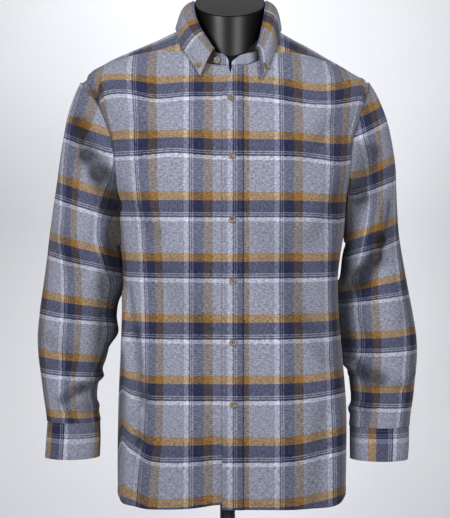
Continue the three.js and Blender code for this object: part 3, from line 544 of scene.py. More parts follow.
# Height of the cloth if it lay flat: from capLow up it adds the length of 24 chords at a fixed x.
def lengthUp(x, height, back=False):
    x, height = np.broadcast_arrays(x, height)
    start = np.minimum(height, capLow)
    levels = mix(start[..., None], height[..., None], np.linspace(0, 1, 25))
    width, depth, square = sectionSizes(x[..., None] >= 0, not back, levels)
    y = depth * np.clip(1 - (np.abs(x[..., None]) / width) ** square, 0, 1) ** (1 / square)
    return start + np.hypot(np.diff(levels, axis=-1), np.diff(y, axis=-1)).sum(-1)


# Top edge of a front: the neckline up to the yoke's corner, then a straight line of the plan to the
# armhole, dropped onto the body.
def frontTop(side, share, startX):
    corner = math.asin(yokeCornerX / neckHalfWidth)
    start = side * math.asin(startX / neckHalfWidth)
    neck = neckFrontPoint(side, mix(start, corner, np.clip(share / neckShare, 0, 1)))
    a, b = neckFrontPoint(side, corner), armholePoint(side, yokeFrontStep)
    t = np.clip((share - neckShare) / (1 - neckShare), 0, 1)
    seam = heightOver(mix(a[0], b[0], t), mix(a[1], b[1], t))
    # below the widest section the surface found lies too high, by a share that grows to the armhole
    found, widest = heightOver(b[0], b[1])[2], widestHeight[side]
    below = np.clip((widest - seam[..., 2]) / max(widest - found, 1), 0, 1)
    seam[..., 2] += (b[2] - found) * below
    seam[..., 2] += (b[2] - seam[..., 2]) * smooth((t - 0.9) / 0.1)
    return np.where((share < neckShare)[..., None], neck, seam)


# A front piece: turn and height of every grid point. Columns near the middle keep a fixed x, with
# their top moved over; the others share the way round to the side seam and the armhole.
def frontGrid(side, startX, fixed, shares, lowRows=130, highRows=92):
    fixedX, topX = (np.array([f[i] for f in fixed], float) for i in (0, 1))
    low = np.linspace(0, 1, lowRows, endpoint=False)[:, None]
    steps = np.linspace(0, yokeFrontStep, highRows)[:, None]
    edge, last = armholePoint(side, steps[:, 0]), armholePoint(side, yokeFrontStep)
    rise = ((edge[:, 2] - underarmHeight) / (last[2] - underarmHeight))[:, None]
    guess = mix(hemHeight, underarmHeight, low)
    turnsLow = [turnAtX(fixedX[None], guess + 0 * fixedX)]
    topNeck = neckFrontPoint(side, side * np.arcsin(topX / neckHalfWidth))
    high = mix(underarmHeight, topNeck[None, :, 2], rise)
    x = mix(fixedX, topX, smooth((high - openStart) / (topNeck[:, 2] - openStart)))
    turnsHigh, heights = [turnAtX(x, high)], [high]
    if len(shares):
        top = frontTop(side, shares, startX)
        startTop = turnAtX(startX, top[:, 2])
        lastTurn = turnAtX(last[0], last[2])
        topShare = (turnAtX(top[:, 0], top[:, 2]) - startTop) / (lastTurn - startTop)
        turnsLow.append(mix(turnAtX(startX, guess), side * math.pi / 2, shares[None]))
        height = mix(underarmHeight, top[None, :, 2], rise)
        edgeTurn = turnAtX(edge[:, 0], edge[:, 2])[:, None]
        way = mix(shares[None], topShare[None], smooth(rise))
        turnsHigh.append(mix(turnAtX(startX, height), edgeTurn, way))
        heights.append(height)
    turnLow = np.concatenate(turnsLow, 1)
    heightLow = mix(hemAt(turnLow), underarmHeight, low)
    turn = np.concatenate([turnLow, np.concatenate(turnsHigh, 1)])
    return turn, np.concatenate([heightLow, np.concatenate(heights, 1)])


# Body cloth: the surface moved out by the folds and the piece's own lift. A turned-up hem stands a
# little proud of the lowest strip. How deep each trough is comes back as painted shade.
def bodyCloth(turn, height, lift=0.0):
    p = bodyPoint(turn, height)
    n = bodyNormal(p)
    around = lengthAround(turn, height)
    bulge = foldHeight(around, height, bodyFolds)
    past = (height - hemAt(turn) - hemFold["tall"]) / hemFold["fade"]
    bulge = bulge + hemFold["proud"] * (1 - smooth(past))
    return p + n * (bulge + lift)[..., None], n, around, np.maximum(-bulge, 0) / deepFold


# One front piece: cloth mm run round the body from the pale stripe and up it from weftZero.
def frontPiece(name, side, startX, fixed, shares, paleAt, wall, lift=0.0):
    turn, height = frontGrid(side, startX, fixed, shares)
    p, n, around, crease = bodyCloth(turn, height, lift)
    fit = tableValue(grainFit, "left" if side < 0 else "right", height)
    u = (around - paleAt) * np.where(side * (around - paleAt) > 0, fit, 1.0)
    v = lengthUp(p[..., 0], height) - weftZero - hills(around, height, weftLift)
    if side < 0:
        p[..., 2] += hills(around, height, hemWave)
    grids[name] = (p, n)
    return clothMesh(name, [(p, n, np.stack([u, v], -1))], wall, crease=crease)


shares = np.linspace(0, 1, frontPanels["columns"])
finish(frontPiece("cloth_front_right", -1, placketLeft, frontPanels["underStrip"], shares,
                  frontPanels["paleLeft"], frontPanels["wall"]), flannel, "front_right_panel")
finish(frontPiece("cloth_front_left", 1, placketRight, [], shares, frontPanels["paleRight"],
                  frontPanels["wall"]), flannel, "front_left_panel")
stripX = np.linspace(placketLeft, placketRight, placket["columns"])
stripTop = np.interp(stripX, placket["x"], placket["topX"])
finish(frontPiece("cloth_placket", 1, placketRight, list(zip(stripX, stripTop)), np.array([]),
                  placket["pale"], placket["wall"], placket["lift"]), flannel, "front_placket")
print("fronts made")


# Back and yoke

backWall = 1.2
yoke = {"wall": 1.2, "acrossFit": 1.02, "alongFit": 1.15, "paleY": -30}  # fits allow for slope


# Back seam of the yoke by share of the width: its height rises to the armhole with share squared.
def yokeSeam(share):
    side = np.where(share < 0, -1, 1)
    end = armholePoint(side, yokeBackStep, True)
    height = mix(yokeBackHeight, end[..., 2], share**2)
    return bodyPoint(turnAtX(share * np.abs(end[..., 0]), height, True), height)


# Back panel: below the underarm it shares the turn evenly; above, each row ends on the armhole and
# bends into the yoke seam by the fourth power of its rise.
def backGrid(columns=150, lowRows=130, highRows=84):
    share = np.linspace(-1, 1, columns)[None]
    side = np.where(share < 0, -1, 1)
    low = np.linspace(0, 1, lowRows, endpoint=False)[:, None]
    plain = np.abs(share) * math.pi / 2
    turnLow = side * (math.pi - plain) + 0 * low
    heightLow = mix(hemAt(plain), underarmHeight, low)
    steps = np.linspace(0, yokeBackStep, highRows)[:, None]
    edge = armholePoint(side, steps, True)
    last = armholePoint(side, yokeBackStep + 0 * steps, True)
    rise = (edge[..., 2] - underarmHeight) / (last[..., 2] - underarmHeight)
    seam = yokeSeam(share)
    seamTurn = math.pi - np.abs(turnAtX(seam[..., 0], seam[..., 2], True))
    edgeTurn = math.pi - np.abs(turnAtX(edge[..., 0], edge[..., 2], True))
    lastTurn = math.pi - np.abs(turnAtX(last[..., 0], last[..., 2], True))
    turn = edgeTurn * mix(np.abs(share), seamTurn / lastTurn, rise**4)
    return (np.concatenate([turnLow, side * (math.pi - turn)]),
            np.concatenate([heightLow, mix(underarmHeight, seam[..., 2], rise)]))


turn, height = backGrid()
p, n, around, crease = bodyCloth(turn, height)
halfRound = lengthAround(np.where(turn < 0, -math.pi, math.pi), height)
backWeave = np.stack([halfRound - around, lengthUp(p[..., 0], height, True) - weftZero], -1)
grids["cloth_back"] = (p, n)
finish(clothMesh("cloth_back", [(p, n, backWeave)], backWall, crease=crease), flannel, "back_panel")


# Straight grain seen from above, the check turned with the pale weft running across.
def yokeWeave(p):
    across, along = p[..., 0] * yoke["acrossFit"], -p[..., 1] * yoke["alongFit"]
    return np.stack([across, along + yoke["paleY"]], -1)


# Yoke: plan lines from the shoulder ridge or the neckline to the seams, dropped onto the body, with
# the outer columns pulled onto the armhole and the inner ones onto the neckline.
def yokePatches(neckColumns=36, shoulderColumns=44, backRows=40, flapRows=22):
    outer = np.linspace(neckShare, 1, shoulderColumns + 1)
    inner = np.linspace(-neckShare, neckShare, neckColumns + 1)[1:-1]
    share = np.concatenate([-outer[::-1], inner, outer])[None]
    side = np.where(share < 0, -1, 1)
    t = np.linspace(0, 1, backRows)[:, None]
    shoulder = np.abs(armholePoint(side, 10.0)[..., 0])
    ridge = mix(neckHalfWidth, shoulder, (np.abs(share) - neckShare) / (1 - neckShare))
    atNeck = neckPoint(np.clip(share / neckShare, -1, 1) * 90)
    onNeck = np.abs(share) < neckShare - 1e-6
    startX = np.where(onNeck, atNeck[..., 0], side * ridge)
    startY = np.where(onNeck, atNeck[..., 1], 0.0)
    seam = yokeSeam(share)
    p = heightOver(mix(startX, seam[..., 0], t), mix(startY, seam[..., 1], t))
    for end, column in ((-1, 0), (1, -1)):
        p += edgePull(p[:, [column]], end, share, t, yokeBackStep, True)
    p += (seam - p[-1:]) * smooth(2 * t - 1)[..., None]
    patches = [(p, bodyNormal(p), yokeWeave(p))]
    flapShare = np.linspace(0, 1, shoulderColumns + 1)[None]
    t = np.linspace(0, 1, flapRows)[:, None]
    corner = math.asin(yokeCornerX / neckHalfWidth)
    for side in (-1, 1):
        share = mix(neckShare, 1, flapShare)
        end = frontTop(side, share, placketRight)
        ridge = side * mix(neckHalfWidth, abs(armholePoint(side, 10.0)[0]), flapShare)
        p = heightOver(mix(ridge, end[..., 0], t), mix(0, end[..., 1], t))
        neckLine = neckFrontPoint(side, mix(math.pi / 2, corner, t))
        p += (neckLine - p[:, :1]) * (1 - smooth(flapShare / 0.15))[..., None]
        p += edgePull(p[:, -1:], side, side * share, t, yokeFrontStep, False)
        p += (end - p[-1:]) * smooth(2 * t - 1)[..., None]
        patches.append((p, bodyNormal(p), yokeWeave(p)))
    return patches


# How far to move points so that an edge column lies on the armhole, fading in over a fifth of the
# width.
def edgePull(edge, side, share, t, lastStep, back):
    rim = armholePoint(side, mix(10, lastStep, t), back)
    return (rim - edge) * smooth((share * side - 0.8) / 0.2)[..., None]


yokeSheets = yokePatches()
grids["cloth_yoke"] = yokeSheets[0][:2]
finish(clothMesh("cloth_yoke", yokeSheets, yoke["wall"]), flannel, "yoke")
print("back and yoke made")


# Sleeves and cuffs

# Outer and inner point of each ring seen from the front, the middle of its depth and half of it
sleeveSections = {
    -1: table("ring outX outZ inX inZ midY halfY", [
        (0, 247, 948, 183, 694, 0, 62), (1, 258, 923, 184, 691, 0, 63),
        (2, 268, 892, 185, 688, 0, 65), (3, 275, 856, 186, 685, 1, 66),
        (4, 281, 820, 187, 682, 2, 66), (5, 286, 782, 188, 679, 3, 65),
        (6, 292, 742, 188, 675, 4, 64), (7, 298, 698, 187, 669, 5, 63),
        (8, 303, 655, 186, 652, 6, 62), (9, 309, 612, 188, 614, 7, 61),
        (10, 315, 568, 193, 572, 6, 60), (11, 318, 528, 199, 530, 2, 58),
        (12, 316, 498, 205, 496, -4, 55), (13, 311, 466, 216, 464, -12, 50),
        (14, 306, 436, 220, 434, -20, 45), (15, 301, 408, 216, 407, -27, 40),
        (16, 299, 393, 213, 393, -30, 37)]),
    1: table("ring outX outZ inX inZ midY halfY", [
        (0, 229, 948, 187, 694, 0, 62), (1, 242, 926, 189, 691, 0, 63),
        (2, 256, 892, 191, 688, 0, 65), (3, 265, 856, 192, 685, 1, 66),
        (4, 272, 814, 193, 682, 2, 66), (5, 274, 776, 193, 679, 3, 65),
        (6, 276, 738, 192, 675, 4, 64), (7, 279, 698, 190, 669, 5, 63),
        (8, 286, 654, 187, 652, 6, 62), (9, 294, 610, 184, 612, 7, 61),
        (10, 302, 568, 185, 572, 6, 60), (11, 308, 526, 191, 530, 2, 58),
        (12, 308, 492, 196, 492, -4, 55), (13, 304, 460, 198, 459, -12, 51),
        (14, 300, 430, 200, 430, -20, 46), (15, 295, 403, 198, 403, -27, 41),
        (16, 293, 385, 196, 385, -31, 38)]),
}
cuffSections = {
    -1: table("ring outX outZ inX inZ midY halfY", [
        (0, 299, 393, 213, 393, -30, 37), (1, 301, 363, 212, 363, -33, 37),
        (2, 303, 334, 213, 335, -35, 36)]),
    1: table("ring outX outZ inX inZ midY halfY", [
        (0, 293, 385, 196, 385, -31, 38), (1, 293, 358, 196, 358, -33, 37),
        (2, 291, 331, 196, 332, -35, 36)]),
}
sleeve = {
    "wall": 1.2, "lastRing": 16, "upperRows": 90, "lowerRows": 84, "columns": 113,
    "armholeFade": 8,    # rings over which the armhole's outline turns into the sleeve's
    "foldStart": 1.2,    # folds grow over the first rings
    "deepFold": 14,      # a trough this deep has the full painted shade
    "bodySide": 108, "bodySideFade": 44,  # degrees from the outer edge where painted shade on the side towards the body starts
    "bodySideShade": 0.7, "shadeRing": 10.5, "shadeRingFade": 5,  # that painted shade, halved below these rings
}
slit = {"wall": 1.3, "lift": 1.6, "firstRing": 12, "angles": (0.3 * math.pi, 0.5 * math.pi),
        "rows": 60, "columns": 16}


# A ring point: centre + reach * cos(angle) towards the outer point, y = middle + half * sin(angle).
def ringFrame(rows, side, ring, angle):
    outX, outZ, inX, inZ, midY, halfY = (tableValue(rows, name, ring) for name in list(rows)[1:])
    centreX, centreZ = side * (outX + inX) / 2, (outZ + inZ) / 2
    reachX, reachZ = side * (outX - inX) / 2, (outZ - inZ) / 2
    across, deep = np.cos(angle), np.sin(angle)
    p = point(centreX + reachX * across, midY + halfY * deep, centreZ + reachZ * across)
    size = reachX**2 + reachZ**2
    return p, unit(point(reachX * across / size, deep / halfY, reachZ * across / size))


# Sleeve folds: degrees from the outer edge (-90 is the front) and height at both ends, then half
# width and depth
sleeveFolds = {
    -1: [(-36, 884, -62, 826, 8, -9.0), (-62, 826, -84, 796, 9, -11.0),
         (-84, 796, -112, 748, 10, -13.0), (-112, 748, -142, 700, 12, -14.0),
         (-150, 700, -146, 620, 22, -16.0), (-146, 620, -150, 540, 20, -14.0),
         (-150, 540, -140, 490, 16, -9.0), (-112, 720, -104, 640, 14, 4.0),
         (-77, 431, -112, 450, 7, -7.0), (-112, 450, -170, 466, 8, -8.0),
         (-84, 470, -140, 488, 13, 4.0), (-110, 420, -165, 418, 9, -5.0),
         (-40, 540, -90, 510, 12, -3.0), (-50, 700, -90, 650, 16, -3.0),
         (-60, 412, -100, 404, 7, 3.0), (60, 650, 120, 570, 14, -6.0),
         (90, 500, 150, 466, 14, -7.0), (70, 790, 140, 710, 16, -6.0),
         (110, 870, 150, 800, 14, -8.0)],
    1: [(-68, 836, -104, 762, 10, -10.0), (-104, 762, -150, 690, 12, -11.0),
        (-61, 747, -80, 690, 9, -9.0), (-80, 690, -90, 662, 9, -11.0),
        (-90, 662, -119, 625, 10, -13.0), (-119, 625, -160, 600, 18, -14.0),
        (-160, 600, -172, 520, 18, -10.0), (-72, 660, -96, 610, 12, 5.0),
        (-96, 720, -128, 668, 14, 5.0), (-100, 464, -150, 486, 12, -11.0),
        (-150, 486, -178, 500, 14, -9.0), (-126, 540, -108, 500, 12, 4.0),
        (-172, 412, -112, 422, 8, -5.0), (-60, 440, -110, 432, 10, 3.0),
        (-36, 640, -60, 560, 12, -3.0), (-30, 470, -74, 455, 9, -4.0),
        (60, 640, 120, 560, 14, -7.0), (90, 500, 150, 470, 14, -7.0),
        (70, 780, 140, 700, 16, -6.0), (110, 850, 150, 790, 14, -7.0)],
}

# Grain of the sleeves: pale weft stripes at the middle of the sleeve and their slope outwards; for
# each ring the angle of the pale warp stripe and the mm of cloth to a degree
sleeveGrain = {
    -1: {"heights": (930, 835.6, 736.8, 646.7, 556.7, 464.6, 372),
         "slopes": (0.42, 0.39, 0.31, 0.225, 0.10, 0.076, 0.0),
         "warp": table("ring paleAt rate", [
             (0, -8, 1.08), (3, -18, 1.1), (4.5, -27, 1.15), (6, -42, 1.25), (8, -60, 1.36),
             (10, -72, 1.4), (12, -75, 1.37), (16, -74, 1.3)])},
    1: {"heights": (950, 857, 768, 671, 589, 502.7, 413.8, 330),
        "slopes": (0.8, 0.70, 0.39, 0.325, 0.115, 0.04, -0.03, 0),
        "warp": table("ring paleAt rate", [
            (0, -62, 1.15), (1.5, -74, 1.17), (4, -95, 1.2), (6, -112.5, 1.1), (8.7, -124, 1.15),
            (10.6, -132, 1.07), (12.8, -138, 1.08), (16, -138, 1.08)])},
}


# Weft position of sleeve points: between two sloping pale stripes it runs evenly through one
# repeat, and it goes on in the same way past the first and the last.
def sleeveWeft(side, p, ring):
    rows, grain = sleeveSections[side], sleeveGrain[side]
    middle = (tableValue(rows, "outX", ring) + tableValue(rows, "inX", ring)) / 2
    out = side * p[..., 0] - middle
    lines = [z + slope * out for z, slope in zip(grain["heights"], grain["slopes"])]
    v = np.zeros(out.shape)
    last = len(lines) - 2
    for i in range(last + 1):
        t = (lines[i] - p[..., 2]) / (lines[i] - lines[i + 1])
        above, below = (t < 0) & (i == 0), (t >= 1) & (i == last)
        v = np.where((t >= 0) & (t < 1) | below, -(i + t), np.where(above, -t, v))
    return v * check["weftRepeat"]


# Sleeve surface: the rings, moved at their top so that the first one is the armhole's outline.
def sleeveGrid(side, ring, angle):
    p, _ = ringFrame(sleeveSections[side], side, ring, angle)
    first, _ = ringFrame(sleeveSections[side], side, 0 * ring, angle)
    step = (angle + math.pi) / (2 * math.pi) * 20
    before = armholePoint(side, np.minimum(step, 10))
    behind = armholePoint(side, 20 - np.maximum(step, 10), True)
    hole = np.where((step <= 10)[..., None], before, behind)
    return p + (hole - first) * (1 - smooth(ring / sleeve["armholeFade"]))[..., None]


# Cloth mm: round the sleeve from the pale warp stripe, and along it by the weft stripes.
def sleeveWeave(side, p, ring, angle):
    warp = sleeveGrain[side]["warp"]
    away = np.degrees(angle) - tableValue(warp, "paleAt", ring)
    return np.stack([side * away * tableValue(warp, "rate", ring), sleeveWeft(side, p, ring)], -1)


def sleevePiece(side, wearer):
    half = sleeve["lastRing"] / 2
    ring = np.concatenate([np.linspace(0, half, sleeve["upperRows"], endpoint=False),
                           np.linspace(half, sleeve["lastRing"], sleeve["lowerRows"])])[:, None]
    angle = np.linspace(-math.pi, math.pi, sleeve["columns"])[None]
    p = sleeveGrid(side, ring, angle)
    n = gridNormals(p, point(side, 0, 0.2), wrap=True)
    fold = foldHeight(np.degrees(angle), p[..., 2], sleeveFolds[side])
    p = p + n * (fold * smooth(ring / sleeve["foldStart"]))[..., None]
    # painted shade: the side towards the body is darkened as if in the body's shadow, less on the
    # forearm
    bodySide = smooth((np.abs(np.degrees(angle)) - sleeve["bodySide"]) / sleeve["bodySideFade"])
    lower = smooth((ring - sleeve["shadeRing"]) / sleeve["shadeRingFade"])
    shade = sleeve["bodySideShade"] * bodySide * (1 - lower * 0.5)
    crease = np.maximum(-fold, 0) / sleeve["deepFold"] + shade
    name = "cloth_sleeve_" + wearer
    grids[name] = (p, n)
    patch = (p, n, sleeveWeave(side, p, ring, angle))
    made = clothMesh(name, [patch], sleeve["wall"], wrap=True, crease=crease)
    finish(made, flannel, "sleeve_" + wearer)


# Strip sewn over the sleeve's slit: a part of the sleeve's surface, lifted off it.
def slitPiece(side, wearer):
    ring = np.linspace(slit["firstRing"], sleeve["lastRing"], slit["rows"])[:, None]
    angle = np.linspace(*slit["angles"], slit["columns"])[None]
    p = sleeveGrid(side, ring, angle)
    n = gridNormals(p, point(side, 1, 0))
    fold = foldHeight(np.degrees(angle), p[..., 2], sleeveFolds[side])
    p = p + n * (fold + slit["lift"])[..., None]
    name = "cloth_slit_strip_" + wearer
    grids[name] = (p, n)
    patch = (p, n, sleeveWeave(side, p, ring, angle))
    finish(clothMesh(name, [patch], slit["wall"]), flannel, "sleeve_placket_" + wearer)


cuff = {
    "wall": 1.6, "rows": 34, "columns": 113, "middle": 255,
    "radius": 46.0,  # cloth mm to a radian
    "paleHeight": 364, "paleX": {-1: 264, 1: 277},  # where its pale stripes cross
}


# Cuff: rings between its sections, with the check turned a quarter, so warp stripes lie level.
def cuffPiece(side, wearer):
    ring = np.linspace(0, 2, cuff["rows"])[:, None]
    angle = np.linspace(-math.pi, math.pi, cuff["columns"])[None]
    p, n = ringFrame(cuffSections[side], side, ring, angle)
    across = side * (cuff["middle"] + (angle + math.pi / 2) * cuff["radius"])
    u, v = p[..., 2] - cuff["paleHeight"], side * cuff["paleX"][side] - across
    name = "cloth_cuff_" + wearer
    grids[name] = (p, n)
    weave = np.stack(np.broadcast_arrays(u, v), -1)
    made = clothMesh(name, [(p, n, weave)], cuff["wall"], wrap=True)
    finish(made, flannel, "cuff_" + wearer)


for side, wearer in ((-1, "right"), (1, "left")):
    sleevePiece(side, wearer)
    slitPiece(side, wearer)
    cuffPiece(side, wearer)
print("sleeves made")


# Collar

# Stand by degrees from the back middle: how tall it is and how far its top leans in
standRows = {
    -1: table("around tall lean", [
        (0, 35, 5), (60, 35, 5), (100, 36, 6), (122, 42, 6), (135, 40, 5), (148, 32, 5),
        (158, 21, 4), (169, 19, 3), (175, 14, 2), (178, 7, 1)]),
    1: table("around tall lean", [
        (0, 35, 5), (60, 35, 5), (90, 36, 6), (105, 41, 7), (122, 34, 6), (134, 21, 5),
        (142, 17, 4), (156, 18, 3), (167, 16, 3), (173, 11, 2), (178, 6, 1)]),
}
stand = {"wall": 1.8, "lift": 0.9, "inset": 0.8, "ends": 178, "rows": 14, "columns": 240,
         "tall": 35, "paleStart": 50, "shadeFade": 11}
# Outer edge of the leaf, seen from above
leafEdge = {
    -1: table("around x y", [
        (0, 0, 74), (45, 58, 54), (90, 87, 3), (115, 85, -40), (135, 75, -65), (158, 48, -96)]),
    1: table("around x y", [
        (0, 0, 74), (45, 58, 54), (90, 82, 3), (110, 79, -42), (127, 68, -72), (142, 48.5, -100)]),
}
leaf = {
    "wall": 1.6, "ends": {-1: 158, 1: 142}, "rows": 40, "columns": 220,
    "clearance": 5, "bulge": 8, "lift": 5,
    "rollRows": 10, "rollWide": 2.2, "rollTall": 1.6, "turnIn": 3,  # over the stand's top
    "paleAlong": 55, "paleDown": 18,  # pale stripes: mm from the left point, and down the leaf
}


# A column of a pair of tables, taken from the left one below 0 degrees and the right one above.
def bySide(tables, column, degrees):
    return np.where(degrees < 0, tableValue(tables[-1], column, np.abs(degrees)),
                    tableValue(tables[1], column, np.abs(degrees)))


# Foot, top and outward direction of the stand by degrees from the back middle.
def standSection(degrees):
    foot = neckPoint(degrees)
    along = neckPoint(np.minimum(degrees + 3, 179.5)) - neckPoint(np.maximum(degrees - 3, -179.5))
    along = unit(along * np.array([1, 1, 0]))
    out = point(along[..., 1], -along[..., 0], 0)
    out = out * np.where((out * foot).sum(-1) < 0, -1, 1)[..., None]
    tall, lean = bySide(standRows, "tall", degrees), bySide(standRows, "lean", degrees)
    top = foot - out * lean[..., None] + point(0, 0, tall)
    return foot - out * stand["inset"] + np.array([0, 0, stand["lift"]]), top, out


# Length along a row of points from its first one, and down a grid from its first row.
def runAlong(p):
    return np.cumsum(np.linalg.norm(np.diff(p, axis=0, prepend=p[:1]), axis=-1), 0)


# Stand: straight from foot to top. What the leaf covers gets painted shade, for the leaf's shadow.
def standPiece():
    degrees = np.linspace(-stand["ends"], stand["ends"], stand["columns"])
    foot, top, out = standSection(degrees)
    t = np.linspace(0, 1, stand["rows"])[:, None]
    p = mix(foot[None], top[None], t[..., None])
    n = np.broadcast_to(out[None], p.shape)
    grids["cloth_collar_stand"] = (p, n)
    up = t * stand["tall"] + stand["paleStart"]
    weave = np.stack(np.broadcast_arrays(runAlong(foot)[None], up), -1)
    # painted shade under the leaf, fading out past the leaf's ends
    past = np.where(degrees < 0, -degrees - leaf["ends"][-1], degrees - leaf["ends"][1])
    crease = np.broadcast_to(1 - smooth(past / stand["shadeFade"]), p.shape[:2])
    return clothMesh("cloth_collar_stand", [(p, n, weave)], stand["wall"], crease=crease)


# Collar leaf: straight from the stand's top to an edge lying over the shoulder, bulged out by
# sin(pi * t^0.6), and rolled over the stand at its top.
def leafPiece():
    degrees = np.linspace(-leaf["ends"][-1], leaf["ends"][1], leaf["columns"])
    _, top, out = standSection(degrees)
    side = np.where(degrees < 0, -1, 1)
    under = heightOver(side * bySide(leafEdge, "x", degrees), bySide(leafEdge, "y", degrees))
    edge = under + bodyNormal(under) * leaf["clearance"]
    t = np.linspace(0, 1, leaf["rows"])[:, None, None]
    p = mix(top[None], edge[None], t)
    p[..., 2] += (1 - t[..., 0]) * leaf["lift"]
    p = p + out[None] * (leaf["bulge"] * np.sin(math.pi * t**0.6) - (1 - t) ** 12)
    roll = np.linspace(math.pi, 0, leaf["rollRows"], endpoint=False)[:, None, None]
    lip = p[:1] + out[None] * leaf["rollWide"] * (np.cos(roll) - 1)
    lip = lip + np.array([0, 0, leaf["rollTall"]]) * np.sin(roll)
    lip[..., 2] -= (np.cos(roll[..., 0]) < -0.95) * leaf["turnIn"]
    p = np.concatenate([lip, p])
    n = gridNormals(p, np.broadcast_to(out[None], p.shape))
    grids["cloth_collar_leaf"] = (p, n)
    down, along = runAlong(p), runAlong(edge)
    across = np.broadcast_to(along[None] - leaf["paleAlong"], down.shape)
    weave = np.stack([down + leaf["paleDown"], across], -1)
    return clothMesh("cloth_collar_leaf", [(p, n, weave)], leaf["wall"])


finish(standPiece(), flannel, "collar_stand")
finish(leafPiece(), flannel, "collar_leaf")
print("collar made")


# Buttons: a dished disc with a rounded rim and four holes, sewn on with two bars of thread

button = {
    "radius": 5.7, "thick": 2.4, "dish": 0.55, "dishRadius": 3.0, "dishFade": 1.2,
    "rim": 1.0, "rimDrop": 0.7, "holeAway": 1.55, "hole": 0.62, "holeDeep": 1.3,
    "rings": 26, "around": 48, "threadLength": 3.4, "thread": 0.38,
}


# Centre and outward axis of a packed button: the middle of its corners, and the direction in which
# they spread least.
def buttonFrame(name):
    mesh = bpy.data.objects[name].data
    matrix = np.array(bpy.data.objects[name].matrix_world)
    corners = np.empty(len(mesh.vertices) * 3)
    mesh.vertices.foreach_get("co", corners)
    corners = corners.reshape(-1, 3) @ matrix[:3, :3].T + matrix[:3, 3]
    centre = corners.mean(0)
    _, _, axes = np.linalg.svd(corners - centre)
    axis = axes[2]
    outwards = np.array([0, 1.0, 0]) if "cuff" in name else centre * np.array([1, 1, 0])
    return centre * 1000, axis * (1 if axis @ outwards > 0 else -1)


# Button face height over its disc: dished middle, raised rounded rim and four round pits.
def buttonPoints():
    b = button
    r = np.linspace(0, 1, b["rings"])[:, None] * b["radius"]
    angle = np.linspace(0, 2 * math.pi, b["around"] + 1)[None]
    x, y = r * np.cos(angle), r * np.sin(angle)
    edge = smooth((r - (b["radius"] - b["rim"])) / b["rim"])
    dish = 1 - smooth((r - b["dishRadius"]) / b["dishFade"])
    face = b["thick"] / 2 - b["dish"] * dish - b["rimDrop"] * edge**3
    for quarter in (0.25, 0.75, 1.25, 1.75):
        holeX = b["holeAway"] * math.cos(math.pi * quarter)
        holeY = b["holeAway"] * math.sin(math.pi * quarter)
        away = np.hypot(x - holeX, y - holeY)
        face = face - b["holeDeep"] * (1 - smooth((away - b["hole"] * 0.7) / (b["hole"] * 0.6)))
    wall = point(b["radius"] * np.cos(angle), b["radius"] * np.sin(angle), 0)
    low = -b["thick"] / 2
    profile = [(1, 0.2), (1, -0.5), (0.9, low), (0.5, low), (0, low)]
    rows = [wall * wide + np.array([0, 0, z]) for wide, z in profile]
    return np.concatenate([point(x, y, face)] + rows)


# Turns points so that their z is the axis, spins them about it and moves them to a centre.
def placeOn(p, centre, axis, spin=0.0):
    up = np.array([0, 0, 1.0]) if abs(axis[2]) < 0.9 else np.array([0, 1.0, 0])
    right = unit(np.cross(up, axis))
    up = np.cross(axis, right)
    ahead, aside = math.cos(spin), math.sin(spin)
    frame = np.stack([right * ahead + up * aside, up * ahead - right * aside, axis])
    return centre + p @ frame


buttonNames = ["front_button_%d" % i for i in range(1, 7)] + [
    "neck_button", "collar_button_right", "collar_button_left", "cuff_button_right",
    "cuff_button_left"]


# A capsule along x of a given length and radius, as rings of points.
def capsule(length, radius, sides=8):
    along = np.array([-0.5, -0.46, -0.35, 0.35, 0.46, 0.5]) * length
    wide = np.array([0.0, 0.7, 1.0, 1.0, 0.7, 0.0]) * radius
    angle = np.linspace(0, 2 * math.pi, sides + 1)
    return point(along[:, None], wide[:, None] * np.cos(angle), wide[:, None] * np.sin(angle))


sewing = []
for i, name in enumerate(buttonNames):
    centre, axis = buttonFrame(name)
    spin = 0.35 * math.sin(2.1 * i)
    solidMesh("sewn_" + name, [placeOn(buttonPoints(), centre, axis, spin)], horn, name)
    for side in (-1, 1):
        place = [0, side * button["holeAway"] * 0.7, button["thick"] / 2 - button["dish"] + 0.15]
        bar = capsule(button["threadLength"], button["thread"]) + np.array(place)
        sewing.append(placeOn(bar, centre, axis, spin))
solidMesh("button_thread", sewing, thread)
print("buttons made")


# Stitches: short capsules along a line of a piece's grid, given by rows and columns as shares

# Values of grids at places given as shares of their rows and columns, mixed from the four nearest.
def gridAt(grid, row, column):
    values = []
    for part in grid:
        rows, columns = part.shape[0] - 1, part.shape[1] - 1
        r, c = np.clip(row, 0, 1) * rows, np.clip(column, 0, 1) * columns
        i, j = np.minimum(r.astype(int), rows - 1), np.minimum(c.astype(int), columns - 1)
        down, across = (r - i)[:, None], (c - j)[:, None]
        upper = mix(part[i, j], part[i, j + 1], across)
        lower = mix(part[i + 1, j], part[i + 1, j + 1], across)
        values.append(mix(upper, lower, down))
    return values


stitch = {"spacing": 3.4, "length": 2.5, "radius": 0.28, "sink": 0.05}


def valuesAt(at, run, values):
    return np.stack([np.interp(at, run, values[:, k]) for k in range(3)], -1)


# Stitches at even spacing along a line, each a capsule that points along it and is half sunk in.
def stitchLine(name, fromRow, fromColumn, toRow, toColumn):
    t = np.linspace(0, 1, 600)
    p, n = gridAt(grids[name], mix(fromRow, toRow, t), mix(fromColumn, toColumn, t))
    run = np.concatenate([[0], np.cumsum(np.linalg.norm(np.diff(p, axis=0), axis=-1))])
    at = np.arange(stitch["spacing"] / 2, run[-1], stitch["spacing"])
    centre, n = valuesAt(at, run, p), unit(valuesAt(at, run, n))
    along = unit(valuesAt(at + 1, run, p) - valuesAt(at - 1, run, p))
    frames = np.stack([along, np.cross(n, along), n], 1)
    shape = capsule(stitch["length"], stitch["radius"], 6)
    turned = np.einsum("rck,skj->srcj", shape, frames)
    return list(turned + (centre + n * stitch["sink"])[:, None, None])


